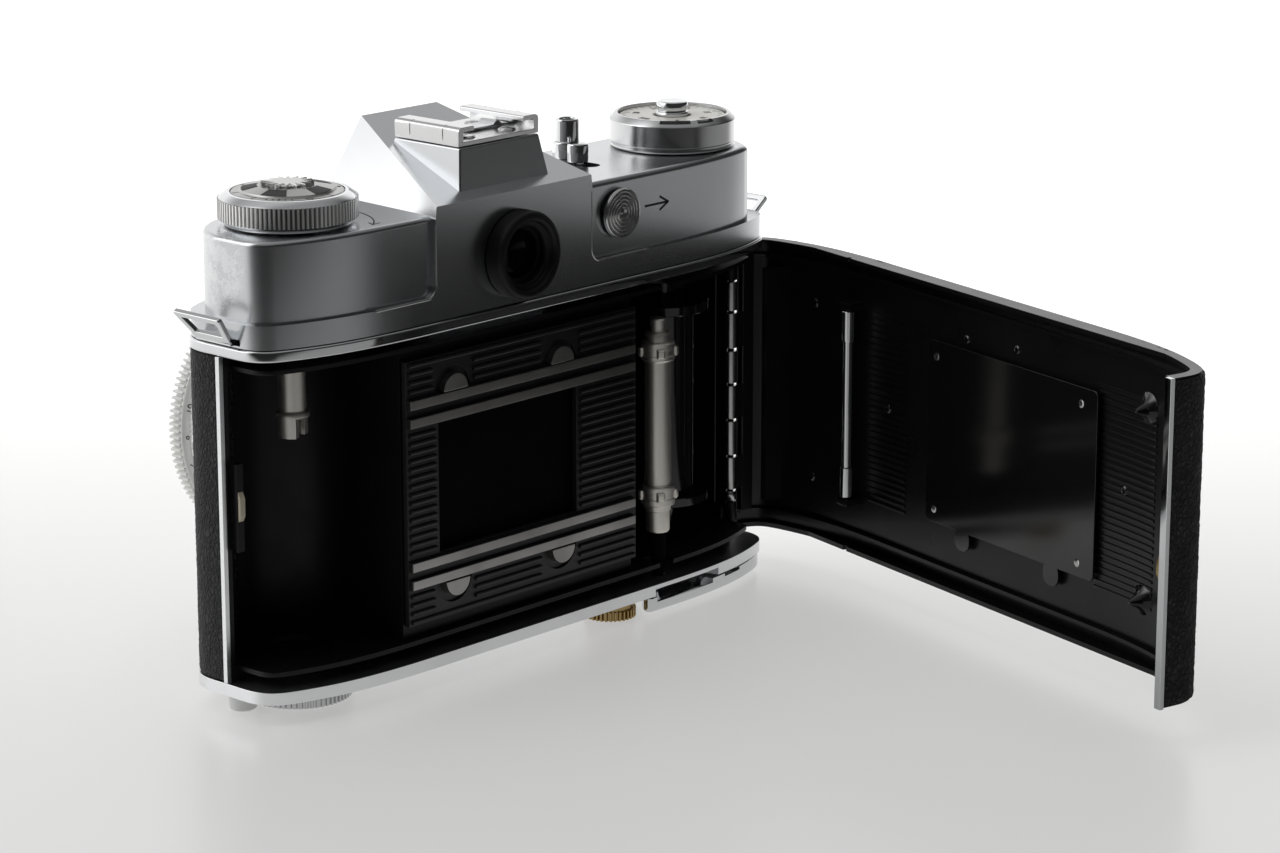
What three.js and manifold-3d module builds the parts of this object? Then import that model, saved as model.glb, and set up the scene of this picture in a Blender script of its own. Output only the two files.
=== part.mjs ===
// Rigid-bodied 35 mm single-lens reflex camera with a between-lens shutter and a side-hinged back,
// shown with the back swung open. Millimetres, +Z up. The lens looks along -Y (front) and the
// photographer stands on the +Y side (rear). +X is the rewind end, -X is the winding end.
// Everything is laid out around the optical axis (X = 0, Z = 0) and the film plane (Y = 0); the
// outer group then moves the origin to the front rest pad under the lens, so Z = 0 is the table.
import * as THREE from 'three';
import { mergeVertices } from 'three/addons/utils/BufferGeometryUtils.js';
import Module from 'manifold-3d';

const wasm = await Module();
wasm.setup();

// ---------------------------------------------------------------- driving dimensions
const REST_Y = 36;             // film plane to rest pad, along the optical axis
const AXIS_HEIGHT = 36;        // optical axis above the table
const TABLE_Z = -AXIS_HEIGHT;
const BODY_CENTRE_X = -8.8;    // the body reaches further past the gate on the winding side
const BODY_CENTRE_Y = -14.4;
const LUG_REACH = 67.7;        // body centre to the root of either strap lug

// levels of the body, bottom to top
const BASE_BOTTOM = -32.2;
const OPENING_BOTTOM = -29.92; // lower edge of the back opening
const OPENING_TOP = 29.35;
const BAND_TOP = 31.3;
const FLANGE_TOP = 35.8;       // low rim of the top cover
const DECK = 50.2;             // flat top of both shoulders
const PANEL_GAP = 0.3;         // casting, covering and door stop this far inside the opening
const PANEL_BOTTOM = OPENING_BOTTOM + PANEL_GAP;
const PANEL_TOP = OPENING_TOP - PANEL_GAP;
const CHAMBER_BOTTOM = -27.0;
const CHAMBER_TOP = 26.6;
const SHELL = 1.1;             // wall of the drawn top cover

// film gate
const GATE_W = 36;
const GATE_H = 24;
const RAIL_X0 = -33.3;
const RAIL_X1 = 25.7;
const RAILS = [[12.45, 14.1], [15.8, 17.45]]; // near and far edge from the axis, along Z
const GUIDE_X = [-13.4, 14.4];
const GUIDE_Z = 17.6;          // flat edge of the film guide studs
const RIB_X0 = -33.2;
const RIB_X1 = 25.6;
const RIB_PITCH = 1.6;

// vertical axes, [x, y]
const REST_PAD = [0, -REST_Y];
const HINGE = [-74.35, -11.92];
const REWIND = [41.2, -14];
const COUNTER = [-59.1, -14];
const CABLE_SOCKET = [-36, -20];
const COUNTER_BUTTON = [-32.9, -14.3];
const SPROCKET = [-42.6, -2.75];
const SPOOL = [-57.5, -15.0];
const LEVER = [-53.5, -14];
const REWIND_RELEASE = [-31, -4.6];
const FOOT = [53.3, -15.5];
const ROLLER = [-49.5, -1.5];  // with the door closed

// axes along Y, [x, z]
const OPTICAL_AXIS = [0, 0];
const FINDER_X = 0.6;          // finder block centre line
const EYEPIECE = [FINDER_X, 40.7];
const FLASH_SOCKET = [-22.4, -25.2];
const COUNTER_SLIDE = [-27.6, 43.7];

const MOUNT_R = 29;
const RING_BORE = 21.7;        // radius inside the rings that turn on the lens
const MIRROR_PIVOT = { y: -6.4, z: 17.2 }; // upper rear edge
const MIRROR_LENGTH = 33;
const CAP_PIVOT = { y: -3.25, z: -14.2 };  // lower edge of the capping plate
const EAR_BOTTOMS = [19.0, -20.6];         // bearing ears of the film roller
const EAR_HEIGHT = 1.2;
const DOOR_OPEN = 75.19;       // degrees from closed to the rest pose

// hinge knuckles, [bottom, top]
const BODY_KNUCKLES = [[0.5, 7.3], [-14.1, -7.1], [-24.5, -21.5]];
const DOOR_KNUCKLES = [[7.6, 14.9], [-6.8, 0.2], [-21.2, -14.4]];
const KNUCKLE_GAP = 0.15;

// one corner of the body plan, [x, y] from the body centre, from the end to the flat face
const CORNER = [
  [67.2, 0], [67.2, 6.0], [66.7, 8.3], [65.5, 10.3], [63.4, 11.8],
  [58, 13.75], [52, 15.2], [45, 16.1], [38, 16.5], [31.6, 16.6],
];
// the front corner at the rewind end is rounder than the other three
const FRONT_REWIND_CORNER = [
  [67.2, 0], [67.2, 4.2], [66.6, 6.9], [65.2, 9.2], [62.9, 11.0],
  [57.7, 13.3], [51.9, 14.95], [45, 16.0], [38, 16.5], [31.6, 16.6],
];

// ---------------------------------------------------------------- finishes
const SATIN = { color: 0xb9bcc0, roughness: 0.42, metalness: 0.9 };
const POLISHED = { color: 0xdfe1e3, roughness: 0.12, metalness: 1.0 };
const BLACK = { color: 0x101011, roughness: 0.55, metalness: 0.1 };
const GLOSS_BLACK = { color: 0x060607, roughness: 0.18, metalness: 0.2 };
const HIDE = { color: 0x17171a, roughness: 0.75, metalness: 0.0 };
const BRASS = { color: 0xa98a4c, roughness: 0.35, metalness: 0.9 };
const GLASS = { color: 0xcfd8e0, roughness: 0.05, metalness: 0.0 };
const STEEL = { color: 0x9a9c9f, roughness: 0.35, metalness: 0.9 };
const PALE_FOOT = { color: 0xd6d6d2, roughness: 0.3, metalness: 0.2 };
const DARK_WINDOW = { color: 0x3a3f45, roughness: 0.2, metalness: 0.0 };
const SILVERED = { color: 0xd8dde2, roughness: 0.02, metalness: 1.0 };
const DIAL = { color: 0xd9d9d5, roughness: 0.4, metalness: 0.3 };

// ---------------------------------------------------------------- solids
// welds a geometry into a closed solid with its faces turned outward
function toSolid(geometry) {
  for (const name of Object.keys(geometry.attributes)) {
    if (name !== 'position') geometry.deleteAttribute(name);
  }
  const welded = mergeVertices(geometry, 1e-4);
  const { position } = welded.attributes;
  let triangles = [];
  let volume = 0;
  for (let i = 0; i < welded.index.count; i += 3) {
    const corners = [i, i + 1, i + 2].map((k) => welded.index.getX(k));
    if (new Set(corners).size < 3) continue;
    triangles.push(corners);
    const [a, b, c] = corners.map((k) => new THREE.Vector3().fromBufferAttribute(position, k));
    volume += a.dot(b.cross(c));
  }
  if (volume < 0) triangles = triangles.map(([a, b, c]) => [a, c, b]);
  return new wasm.Manifold(new wasm.Mesh({
    numProp: 3,
    vertProperties: new Float32Array(position.array),
    triVerts: new Uint32Array(triangles.flat()),
  }));
}

const join = (...solids) => solids.reduce((sum, solid) => sum.add(solid));
const cut = (solid, ...tools) => tools.reduce((rest, tool) => rest.subtract(tool), solid);

function extrude(points, depth) {
  const shape = new THREE.Shape(points.map(([u, v]) => new THREE.Vector2(u, v)));
  return new THREE.ExtrudeGeometry(shape, { depth, bevelEnabled: false, steps: 1 });
}
// an outline in X-Y swept along Z
function prism(points, z0, z1) {
  return toSolid(extrude(points, z1 - z0).translate(0, 0, z0));
}
// an outline in X-Z swept along Y
function prismY(points, y0, y1) {
  return toSolid(extrude(points, y1 - y0).rotateX(Math.PI / 2).translate(0, y1, 0));
}
// an outline in Y-Z swept along X
function prismX(points, x0, x1) {
  const swept = extrude(points, x1 - x0).rotateX(Math.PI / 2).rotateZ(Math.PI / 2);
  return toSolid(swept.translate(x0, 0, 0));
}
function box(x0, x1, y0, y1, z0, z1) {
  const block = new THREE.BoxGeometry(x1 - x0, y1 - y0, z1 - z0);
  return toSolid(block.translate((x0 + x1) / 2, (y0 + y1) / 2, (z0 + z1) / 2));
}
const polar = ([x, y], radius, angle) => [
  x + radius * Math.cos(angle),
  y + radius * Math.sin(angle),
];
function circle(centre, radius, sides) {
  return Array.from({ length: sides }, (_, i) => polar(centre, radius, (2 * Math.PI * i) / sides));
}
function rod(centre, radius, z0, z1, sides = 10) {
  return prism(circle(centre, radius, sides), z0, z1);
}
function rodY(centre, radius, y0, y1, sides = 10) {
  return prismY(circle(centre, radius, sides), y0, y1);
}
const lathe = (profile, sides) => new THREE.LatheGeometry(
  profile.map(([radius, along]) => new THREE.Vector2(radius, along)),
  sides,
);
// a profile [radius, z] turned about a vertical axis
function turned(profile, [x, y], sides) {
  return toSolid(lathe(profile, sides).rotateX(Math.PI / 2).translate(x, y, 0));
}
// a profile [radius, y] turned about an axis along Y
function turnedY(profile, [x, z], sides) {
  return toSolid(lathe(profile, sides).translate(x, 0, z));
}
// counterclockwise rings of equal point count, each point [x, y, z], bottom to top, flat caps
function loft(rings) {
  const count = rings[0].length;
  const index = [];
  for (let k = 0; k + 1 < rings.length; k++) {
    for (let i = 0; i < count; i++) {
      const here = k * count + i;
      const next = k * count + (i + 1) % count;
      index.push(here, next, next + count, here, next + count, here + count);
    }
  }
  const plan = rings[0].map(([x, y]) => new THREE.Vector2(x, y));
  const last = (rings.length - 1) * count;
  for (const [a, b, c] of THREE.ShapeUtils.triangulateShape(plan, [])) {
    index.push(c, b, a, last + a, last + b, last + c);
  }
  const geometry = new THREE.BufferGeometry();
  geometry.setAttribute('position', new THREE.Float32BufferAttribute(rings.flat(2), 3));
  geometry.setIndex(index);
  return toSolid(geometry);
}

// ---------------------------------------------------------------- outlines
function toothed(centre, tip, root, count) {
  return Array.from({ length: count * 2 }, (_, i) => (
    polar(centre, i % 2 ? root : tip, (Math.PI * i) / count)));
}
function roundedRect(x0, x1, y0, y1, radius, steps) {
  // corner centre and the angle its arc starts at
  const corners = [
    [x1 - radius, y1 - radius, 0], [x0 + radius, y1 - radius, 90],
    [x0 + radius, y0 + radius, 180], [x1 - radius, y0 + radius, 270],
  ];
  return corners.flatMap(([x, y, start]) => Array.from({ length: steps + 1 }, (_, i) => (
    polar([x, y], radius, THREE.MathUtils.degToRad(start + (90 * i) / steps)))));
}
// a half outline followed by its mirror image across x = axis
function mirrored(half, axis) {
  return [
    ...half.map(([x, y]) => [axis + x, y]),
    ...half.map(([x, y]) => [axis - x, y]).reverse(),
  ];
}

// whole body plan, counterclockwise from the rewind end
const BODY_PLAN = [
  ...mirrored(CORNER, 0),
  ...CORNER.slice(1).map(([x, y]) => [-x, -y]),
  ...FRONT_REWIND_CORNER.slice(1).map(([x, y]) => [x, -y]).reverse(),
];
function edgeNormal([x0, y0], [x1, y1]) {
  return new THREE.Vector2(y1 - y0, x0 - x1).normalize();
}
// the body plan moved inward by an even inset, with mitred corners
function outline(inset) {
  return BODY_PLAN.map((point, i) => {
    const before = edgeNormal(BODY_PLAN.at(i - 1), point);
    const after = edgeNormal(point, BODY_PLAN[(i + 1) % BODY_PLAN.length]);
    const mitre = before.clone().add(after).normalize();
    const shift = inset / before.dot(mitre);
    return [
      BODY_CENTRE_X + point[0] - mitre.x * shift,
      BODY_CENTRE_Y + point[1] - mitre.y * shift,
    ];
  });
}
const slab = (inset, z0, z1) => prism(outline(inset), z0, z1);
// upright wall that follows the body plan between two insets
function wall(outerInset, innerInset, z0, z1) {
  return slab(outerInset, z0, z1).subtract(slab(innerInset, -60, 60));
}

// ---------------------------------------------------------------- groups
const camera = new THREE.Group();
const fixed = new THREE.Group();
fixed.position.set(0, REST_Y, AXIS_HEIGHT);
camera.add(fixed);

function piece(name, finish, solid, parent = fixed) {
  const { vertProperties, triVerts } = solid.getMesh();
  const geometry = new THREE.BufferGeometry();
  geometry.setAttribute(
    'position',
    new THREE.BufferAttribute(new Float32Array(vertProperties), 3),
  );
  geometry.setIndex(new THREE.BufferAttribute(new Uint32Array(triVerts), 1));
  geometry.computeVertexNormals();
  const mesh = new THREE.Mesh(geometry, new THREE.MeshStandardMaterial(finish));
  mesh.name = name;
  parent.add(mesh);
}

// ---------------------------------------------------------------- body casting and film gate
function bodyCasting() {
  const cassetteChamber = roundedRect(26.2, 56.6, -28.6, 20, 13, 7);
  const takeUpChamber = roundedRect(-74.4, -34.6, -28.9, 20, 8, 5);
  return cut(
    slab(0.95, PANEL_BOTTOM, PANEL_TOP),
    // rear half: only the plates and the tunnel stay, the closed back fills the rest
    box(-90, 70, -13.6, 10, -40, 40).subtract(slab(2.6, -27.9, 27.4)),
    // hinge end
    box(-90, -72.0, -16.2, 10, -40, 40),
    prism(cassetteChamber, CHAMBER_BOTTOM, CHAMBER_TOP),
    prism(takeUpChamber, CHAMBER_BOTTOM, CHAMBER_TOP),
    // seat of the gate plate
    box(-34.8, 26.4, -2.4, 10, CHAMBER_BOTTOM, CHAMBER_TOP),
    // light tunnel and mirror space
    box(-20.5, 20.5, -50, 0, -16.5, 19.5),
    box(-20.5, 20.5, -50, -5.0, -19, 35),
    // passages for the rewind shaft, sprocket and spool
    rod(REWIND, 4.6, 20, 40, 12),
    rod(REWIND, 6.4, -28.4, -20, 14),
    ...[-31, 20].flatMap((z) => [rod(SPROCKET, 2.6, z, z + 11), rod(SPOOL, 3.0, z, z + 11)]),
    // slot for the latch tongue
    box(54.5, 60, -13.4, -11.9, -8, 12),
  );
}

function filmGatePlate() {
  const rib = (x0, x1, row) => (
    box(x0, x1, -1.2, -0.55, row * RIB_PITCH - 0.4, row * RIB_PITCH + 0.4));
  const rails = RAILS.map(([near, far]) => box(RAIL_X0, RAIL_X1, -1.3, 0, near, far));
  const studs = GUIDE_X.map((x) => (
    rodY([x, GUIDE_Z], 3.0, -1.3, 0.08, 12).intersect(box(x - 4, x + 4, -4, 4, GUIDE_Z, 22))));
  // ribs above the gate leave room around the studs
  const edgeRibs = [12, 13, 14].flatMap((row) => [
    rib(RIB_X0, GUIDE_X[0] - 5, row),
    rib(GUIDE_X[0] + 5, GUIDE_X[1] - 5, row),
    rib(GUIDE_X[1] + 5, RIB_X1, row),
  ]);
  const upper = join(...rails, ...studs, ...edgeRibs);
  let plate = box(-34.4, 26.0, -2.1, -1.0, -24.5, 24.5);
  plate = plate.subtract(box(-GATE_W / 2, GATE_W / 2, -5, 5, -GATE_H / 2, GATE_H / 2));
  plate = join(plate, upper, upper.mirror([0, 0, 1]));
  for (let row = -6; row <= 6; row++) {
    plate = join(plate, rib(RIB_X0, -19.0, row), rib(19.0, RIB_X1, row));
  }
  return plate;
}

piece('body_casting', BLACK, bodyCasting());
piece('film_gate_plate', BLACK, filmGatePlate());

// ---------------------------------------------------------------- trim band, base and rest foot
function basePlate() {
  const pad = [[0, TABLE_Z], [4.2, TABLE_Z], [5.0, TABLE_Z + 0.8], [5.0, -31], [0, -31]];
  const recess = [
    [-37.5, 6], [-37.5, 0.6], [-39.5, -1.2], [-52, -1.2], [-55.5, 0.4], [-55.5, 6],
  ];
  const plate = join(
    slab(0, BASE_BOTTOM, OPENING_BOTTOM),
    prism(roundedRect(-27, 27, -43, -24, 5, 4), BASE_BOTTOM, OPENING_BOTTOM),
    turned(pad, REST_PAD, 14),
  );
  return cut(
    plate,
    // finger recess above the lever, along the back edge
    prism(recess, -34, -30.7),
    rod(LEVER, 3.4, -40, -20, 12),
    rod(REWIND, 8.0, -40, -20, 16),
    rod(REWIND_RELEASE, 2.4, -40, -20),
    rod(FOOT, 1.6, -40, -20),
    rod(SPROCKET, 1.5, -40, -20),
  );
}

piece('trim_band', POLISHED, wall(0, 2.4, OPENING_TOP, BAND_TOP));
piece('base_plate', SATIN, basePlate());
piece('rest_foot', PALE_FOOT, join(
  rod(FOOT, 2.5, TABLE_Z, BASE_BOTTOM - 0.02, 14),
  rod(FOOT, 1.45, BASE_BOTTOM - 0.5, -30.2),
));

// ---------------------------------------------------------------- top cover
// one trapezoid ring centred on the finder, from its front and rear edges
function finderRing(front, rear) {
  return [
    [FINDER_X - front.half, front.y, front.z],
    [FINDER_X + front.half, front.y, front.z],
    [FINDER_X + rear.half, rear.y, rear.z],
    [FINDER_X - rear.half, rear.y, rear.z],
  ];
}

// finder hood with upright walls and a roof that rises to the front
function hood(inset, bottom) {
  const rearY = 2.2;
  const roofFrontY = -27.6;
  const roofRearZ = 52.1;
  const roofFrontZ = 63.4;
  const y = rearY - inset;
  const roofZ = (at) => roofRearZ - inset * 1.05
    + (rearY - at) * (roofFrontZ - roofRearZ) / (rearY - roofFrontY);
  const level = (z) => finderRing(
    { half: 18.4 - inset, y: -28.8 + inset, z },
    { half: 20.4 - inset, y, z },
  );
  const frontY = roofFrontY + inset;
  const roof = finderRing(
    { half: 9.6 - inset * 0.8, y: frontY, z: roofZ(frontY) },
    { half: 20.1 - inset, y, z: roofZ(y) },
  );
  return loft([level(bottom), level(49.5), roof]);
}

// raised blocks at the rewind and winding ends
function shoulders(inset) {
  const block = slab(1.4 + inset, FLANGE_TOP - 1, DECK - inset);
  const plans = [
    roundedRect(5, 57.2 - inset, -27.0 + inset, 20, 14 - inset, 8),
    roundedRect(-73.6 + inset, -5, -28.2 + inset, 1.25 - inset, 9.0, 6),
  ];
  return join(...plans.map((plan) => block.intersect(prism(plan, 20, 60))));
}

function topCover() {
  // wedge on the hood roof that carries the accessory shoe
  const wedge = loft([
    finderRing({ half: 10.3, y: -24, z: 50.5 }, { half: 11.8, y: -0.3, z: 50.5 }),
    finderRing({ half: 10.2, y: -18.6, z: 60.4 }, { half: 10.2, y: -2, z: 60.4 }),
  ]);
  const outside = join(
    slab(0.45, BAND_TOP + 0.2, FLANGE_TOP),
    shoulders(0),
    hood(0, FLANGE_TOP - 1),
    wedge,
  );
  // openings through the flange up into the shoulders
  const throats = join(
    prism(roundedRect(-72, 10, -27.0, 0.2, 9, 5), 20, 60),
    prism(roundedRect(0, 55.8, -25.6, 0.2, 12.6, 7), 20, 60),
  );
  const hollow = join(
    slab(0.45 + SHELL, 20, FLANGE_TOP - SHELL),
    slab(0.45 + SHELL + 1.0, 20, FLANGE_TOP + 0.5).intersect(throats),
    shoulders(SHELL),
    hood(SHELL + 0.25, 30),
  );
  return cut(
    outside,
    hollow,
    // front opening for the mirror housing
    box(-24, 25, -40, -26, 20, 45.5),
    // meter cell window
    box(FINDER_X - 8, FINDER_X + 8, -40, -24, 48.5, 57.5),
    rodY(EYEPIECE, 6.6, -6, 10, 16),
    // shafts and buttons through the deck
    rod(REWIND, 4.6, 40, 60, 14),
    rod(COUNTER, 3.4, 40, 60, 14),
    rod(CABLE_SOCKET, 1.6, 40, 60),
    prism(roundedRect(-35.6, -30.6, -16.4, -12.2, 1.9, 4), 40, 60),
    // slot of the counter slide in the recessed rear wall
    prismY(roundedRect(-31.6, -23.4, 42.4, 45.0, 1.2, 3), -6, 8),
    // strap lug slots
    box(52, 64, -19.4, -8.6, 31.9, 33.0),
    box(-82, -70, -19.4, -8.6, 31.9, 33.0),
  );
}

piece('top_cover', SATIN, topCover());

// ---------------------------------------------------------------- accessory shoe and finder
// half profiles [x from the finder centre line, z]
const SHOE_HALF = [
  [10.2, 60.7], [10.2, 63.2], [9.4, 64.2], [6.4, 64.2], [6.4, 63.3], [9.0, 63.3], [9.2, 61.6],
];
const SHOE_SPRING_HALF = [
  [8.7, 61.8], [8.7, 62.15], [6.2, 62.15], [5.2, 62.9], [4.6, 62.9], [4.4, 62.15],
];
const EYEPIECE_RING = [ // [radius, y]
  [4.4, -0.6], [6.4, -0.6], [6.4, 2.4], [8.0, 2.4], [8.0, 4.6], [7.4, 5.8],
  [6.2, 5.8], [5.2, 4.6], [4.9, 3.0], [4.4, 3.0], [4.4, -0.6],
];
const EYEPIECE_LENS = [[0, -0.2], [4.2, 0.1], [4.2, 2.0], [2.6, 2.45], [0, 2.6]]; // [radius, y]
const PENTAPRISM = [ // [y, z]
  [-7.2, 21.0], [-28.0, 21.0], [-28.0, 33.5], [-17.5, 46.5], [-5.4, 44.0], [-5.4, 23.0],
];

piece('accessory_shoe', POLISHED, prismY(mirrored(SHOE_HALF, FINDER_X), -18.4, -2.2));
piece('shoe_spring', STEEL, prismY(mirrored(SHOE_SPRING_HALF, FINDER_X), -17.6, -8.5));
piece('eyepiece_ring', GLOSS_BLACK, turnedY(EYEPIECE_RING, EYEPIECE, 20));
piece('eyepiece_lens', GLASS, turnedY(EYEPIECE_LENS, EYEPIECE, 14));
piece('pentaprism', GLASS, prismX(PENTAPRISM, FINDER_X - 14.8, FINDER_X + 14.8));
piece('focusing_screen', GLASS, box(-18.5, 18.5, -34.0, -6.0, 18.8, 20.4));
piece('meter_cell_window', DARK_WINDOW,
  box(FINDER_X - 7.6, FINDER_X + 7.6, -28.6, -27.2, 48.9, 57.0));

// ---------------------------------------------------------------- strap lugs
// a tapered loop of plate that leans up and out from the end wall
function strapLug(side) {
  const rim = [
    [0, -4.4], [1.2, -4.6], [6.2, -5.9], [6.6, -5.5], [6.6, 5.5], [6.2, 5.9], [1.2, 4.6], [0, 4.4],
  ];
  const hole = [[1.8, -3.4], [5.0, -4.3], [5.0, 4.3], [1.8, 3.4]];
  const loop = prism(rim, -0.45, 0.45).subtract(prism(hole, -2, 2)).rotate([0, -51, 0]);
  const lug = loop.add(box(-2.2, 0.25, -4.4, 4.4, -0.45, 0.4));
  return lug
    .rotate([0, 0, side > 0 ? 0 : 180])
    .translate([BODY_CENTRE_X + side * LUG_REACH, BODY_CENTRE_Y + 0.4, 32.45]);
}

piece('strap_lug_rewind_end', POLISHED, strapLug(1));
piece('strap_lug_winding_end', POLISHED, strapLug(-1));

// ---------------------------------------------------------------- coverings on the fixed half
const skin = wall(0.1, 0.8, PANEL_BOTTOM, PANEL_TOP);
const edgeWall = wall(0.05, 0.85, PANEL_BOTTOM + 0.05, PANEL_TOP - 0.05);
piece('covering_rewind_end', HIDE, skin.intersect(box(30, 70, -40, -14.7, -40, 40)));
piece('covering_winding_end', HIDE, skin.intersect(box(-90, -30, -40, -16.4, -40, 40)));
piece('end_edge_strip', POLISHED, edgeWall.intersect(box(50, 70, -14.6, -13.65, -40, 40)));

// ---------------------------------------------------------------- mirror housing and lens
function mirrorHousing() {
  return cut(
    prismY(roundedRect(-26, 26, -29.3, 29.0, 6, 5), -43, -31.35),
    prismY(roundedRect(-21.5, 21.5, -19.5, 21.5, 2, 3), -41.6, -20),
    rodY(OPTICAL_AXIS, 14.3, -60, -20, 20),
    box(-19.2, 19.2, -35, -20, -19, 30),
  );
}

// profiles [radius, y] about the optical axis
const SHUTTER_HOUSING = [
  [14.3, -43.2], [MOUNT_R, -43.2], [MOUNT_R, -49.4], [28.2, -50.0], [14.3, -50.0], [14.3, -43.2],
];
const LENS_BARREL = [
  [12.4, -42.0], [13.6, -42.0], [13.6, -50.2], [21.4, -50.2], [21.4, -62.0], [21.4, -67.4],
  [20.3, -68.0], [20.3, -69.2], [19.4, -69.2], [18.6, -68.0], [15.2, -66.8], [12.4, -66.4],
  [12.4, -42.0],
];
const FRONT_ELEMENT = [[0, -68.6], [7, -67.9], [12.2, -66.0], [12.2, -62.6], [0, -61.8]];
const REAR_ELEMENT = [[0, -47.5], [10.2, -47.5], [12.2, -46.2], [12.2, -44.2], [0, -42.6]];
const FOCUSING_RING_SKIRT = [
  [RING_BORE, -64.0], [23.6, -64.0], [23.2, -62.4], [RING_BORE, -61.9], [RING_BORE, -64.0],
];
const APERTURE_RING = [
  [RING_BORE, -61.5], [25.2, -61.2], [26.6, -58.0], [26.6, -56.2], [RING_BORE, -56.2],
  [RING_BORE, -61.5],
];
const SPEED_RING = [
  [RING_BORE, -55.8], [27.2, -55.8], [28.0, -54.6], [28.0, -50.4], [RING_BORE, -50.4],
  [RING_BORE, -55.8],
];

function toothRing(tip, root, count, y0, y1) {
  const bore = rodY(OPTICAL_AXIS, RING_BORE, y0 - 1, y1 + 1, 24);
  return prismY(toothed(OPTICAL_AXIS, tip, root, count), y0, y1).subtract(bore);
}

function focusingRing() {
  const ring = join(
    toothRing(24.2, 23.1, 36, -67.2, -63.7),
    turnedY(FOCUSING_RING_SKIRT, OPTICAL_AXIS, 28),
  );
  return ring.subtract(rodY(OPTICAL_AXIS, RING_BORE, -70, -50, 24));
}

function selfTimerLever() {
  const blade = [[29.5, -3.2], [33.5, -2.4], [34.6, -1.2], [34.6, 1.2], [33.5, 2.4], [29.5, 3.2]];
  return prismY(blade, -48.6, -46.6).rotate([0, 55, 0]);
}

const FLASH_SOCKET_PROFILE = [ // [radius, y]
  [0, -43.2], [3.0, -43.2], [3.4, -43.6], [3.4, -47.0], [2.7, -47.0], [2.7, -45.0],
  [0.8, -45.0], [0.8, -46.6], [0, -46.6],
];

// mirror at 45 degrees, hung from its upper rear edge
function mirror() {
  return box(-16.5, 16.5, -MIRROR_LENGTH, 0, -0.8, 0)
    .rotate([45, 0, 0])
    .translate([0, MIRROR_PIVOT.y, MIRROR_PIVOT.z]);
}

piece('mirror_housing', SATIN, mirrorHousing());
piece('shutter_housing', SATIN, turnedY(SHUTTER_HOUSING, OPTICAL_AXIS, 28));
piece('lens_barrel', BLACK, turnedY(LENS_BARREL, OPTICAL_AXIS, 28));
piece('lens_front_element', GLASS, turnedY(FRONT_ELEMENT, OPTICAL_AXIS, 20));
piece('lens_rear_element', GLASS, turnedY(REAR_ELEMENT, OPTICAL_AXIS, 18));
piece('focusing_ring', SATIN, focusingRing());
piece('aperture_ring', SATIN, join(
  turnedY(APERTURE_RING, OPTICAL_AXIS, 28),
  toothRing(27.2, 26.2, 30, -58.2, -56.2),
));
piece('speed_ring', SATIN, join(
  turnedY(SPEED_RING, OPTICAL_AXIS, 28),
  toothRing(28.6, 27.6, 32, -54.4, -51.0),
));
piece('self_timer_lever', SATIN, selfTimerLever());
piece('flash_socket', SATIN, turnedY(FLASH_SOCKET_PROFILE, FLASH_SOCKET, 12));
piece('mirror', SILVERED, mirror());
piece('capping_plate', BLACK,
  box(-19.6, 19.6, CAP_PIVOT.y - 0.4, CAP_PIVOT.y + 0.4, CAP_PIVOT.z - 0.3, 12.8));

// ---------------------------------------------------------------- rewind knob
// profiles [radius, z]
const REWIND_SLEEVE = [
  [2.6, 26.0], [4.3, 26.0], [4.3, 50.5], [3.4, 50.9], [2.6, 50.9], [2.6, 26.0],
];
const REWIND_KNOB = [
  [0, 50.5], [11.2, 50.5], [11.4, 50.7], [11.6, 51.4], [11.6, 55.0], [10.7, 56.0],
  [10.2, 56.0], [10.2, 55.2], [0, 55.2],
];
const FILM_TYPE_DIAL = [
  [0, 55.4], [9.9, 55.4], [9.9, 55.9], [8.3, 56.2], [3.9, 57.4], [3.7, 57.8], [0, 57.9],
];

function rewindKnob() {
  return cut(
    join(
      prism(toothed(REWIND, 12.3, 11.55, 40), 51.3, 55.0),
      turned(REWIND_KNOB, REWIND, 24),
    ),
    rod(REWIND, 1.75, 40, 60),
    rod(REWIND, 4.7, 49, 51.2, 12),
  );
}

function rewindShaft() {
  const prongs = join(
    box(-4, -1.0, -1.7, 1.7, 12.0, 15.9),
    box(1.0, 4, -1.7, 1.7, 12.0, 15.9),
  ).rotate([0, 0, 21]).translate([...REWIND, 0]);
  return join(
    rod(REWIND, 1.6, 17, 55.0),
    rod(REWIND, 2.4, 16.2, 25.6, 12),
    rod(REWIND, 3.0, 15.5, 16.5, 14),
    prongs.intersect(rod(REWIND, 3.0, 11, 17, 14)),
  );
}

piece('rewind_sleeve', STEEL, turned(REWIND_SLEEVE, REWIND, 12));
piece('rewind_knob', SATIN, rewindKnob());
piece('rewind_shaft', POLISHED, rewindShaft());
piece('film_type_dial', SATIN, turned(FILM_TYPE_DIAL, REWIND, 24));

// ---------------------------------------------------------------- counter, release and buttons
// profiles [radius, z]
const COUNTER_HOUSING = [
  [0, 50.4], [10.6, 50.4], [11.2, 51.0], [12.1, 51.3], [12.1, 55.9], [11.1, 56.8],
  [10.5, 56.8], [10.5, 54.6], [0, 54.6],
];
const RELEASE_BUTTON = [
  [0, 43.0], [2.0, 43.0], [2.0, 54.9], [3.15, 54.9], [3.15, 56.4], [2.7, 56.8],
  [2.95, 57.3], [2.95, 58.4], [2.5, 58.8], [0, 58.9],
];
const CABLE_SOCKET_PROFILE = [
  [0, 49.0], [1.4, 49.0], [1.4, 50.4], [2.7, 50.4], [2.7, 53.3], [2.35, 53.6],
  [2.35, 57.3], [2.1, 57.6], [1.3, 57.6], [1.3, 54.0], [0, 53.4],
];
const COUNTER_BUTTON_PROFILE = [
  [0, 47.6], [3.0, 47.6], [3.0, 48.6], [1.7, 48.6], [1.7, 50.0], [2.0, 50.6],
  [2.0, 53.7], [1.7, 54.0], [0, 54.1],
];
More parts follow.
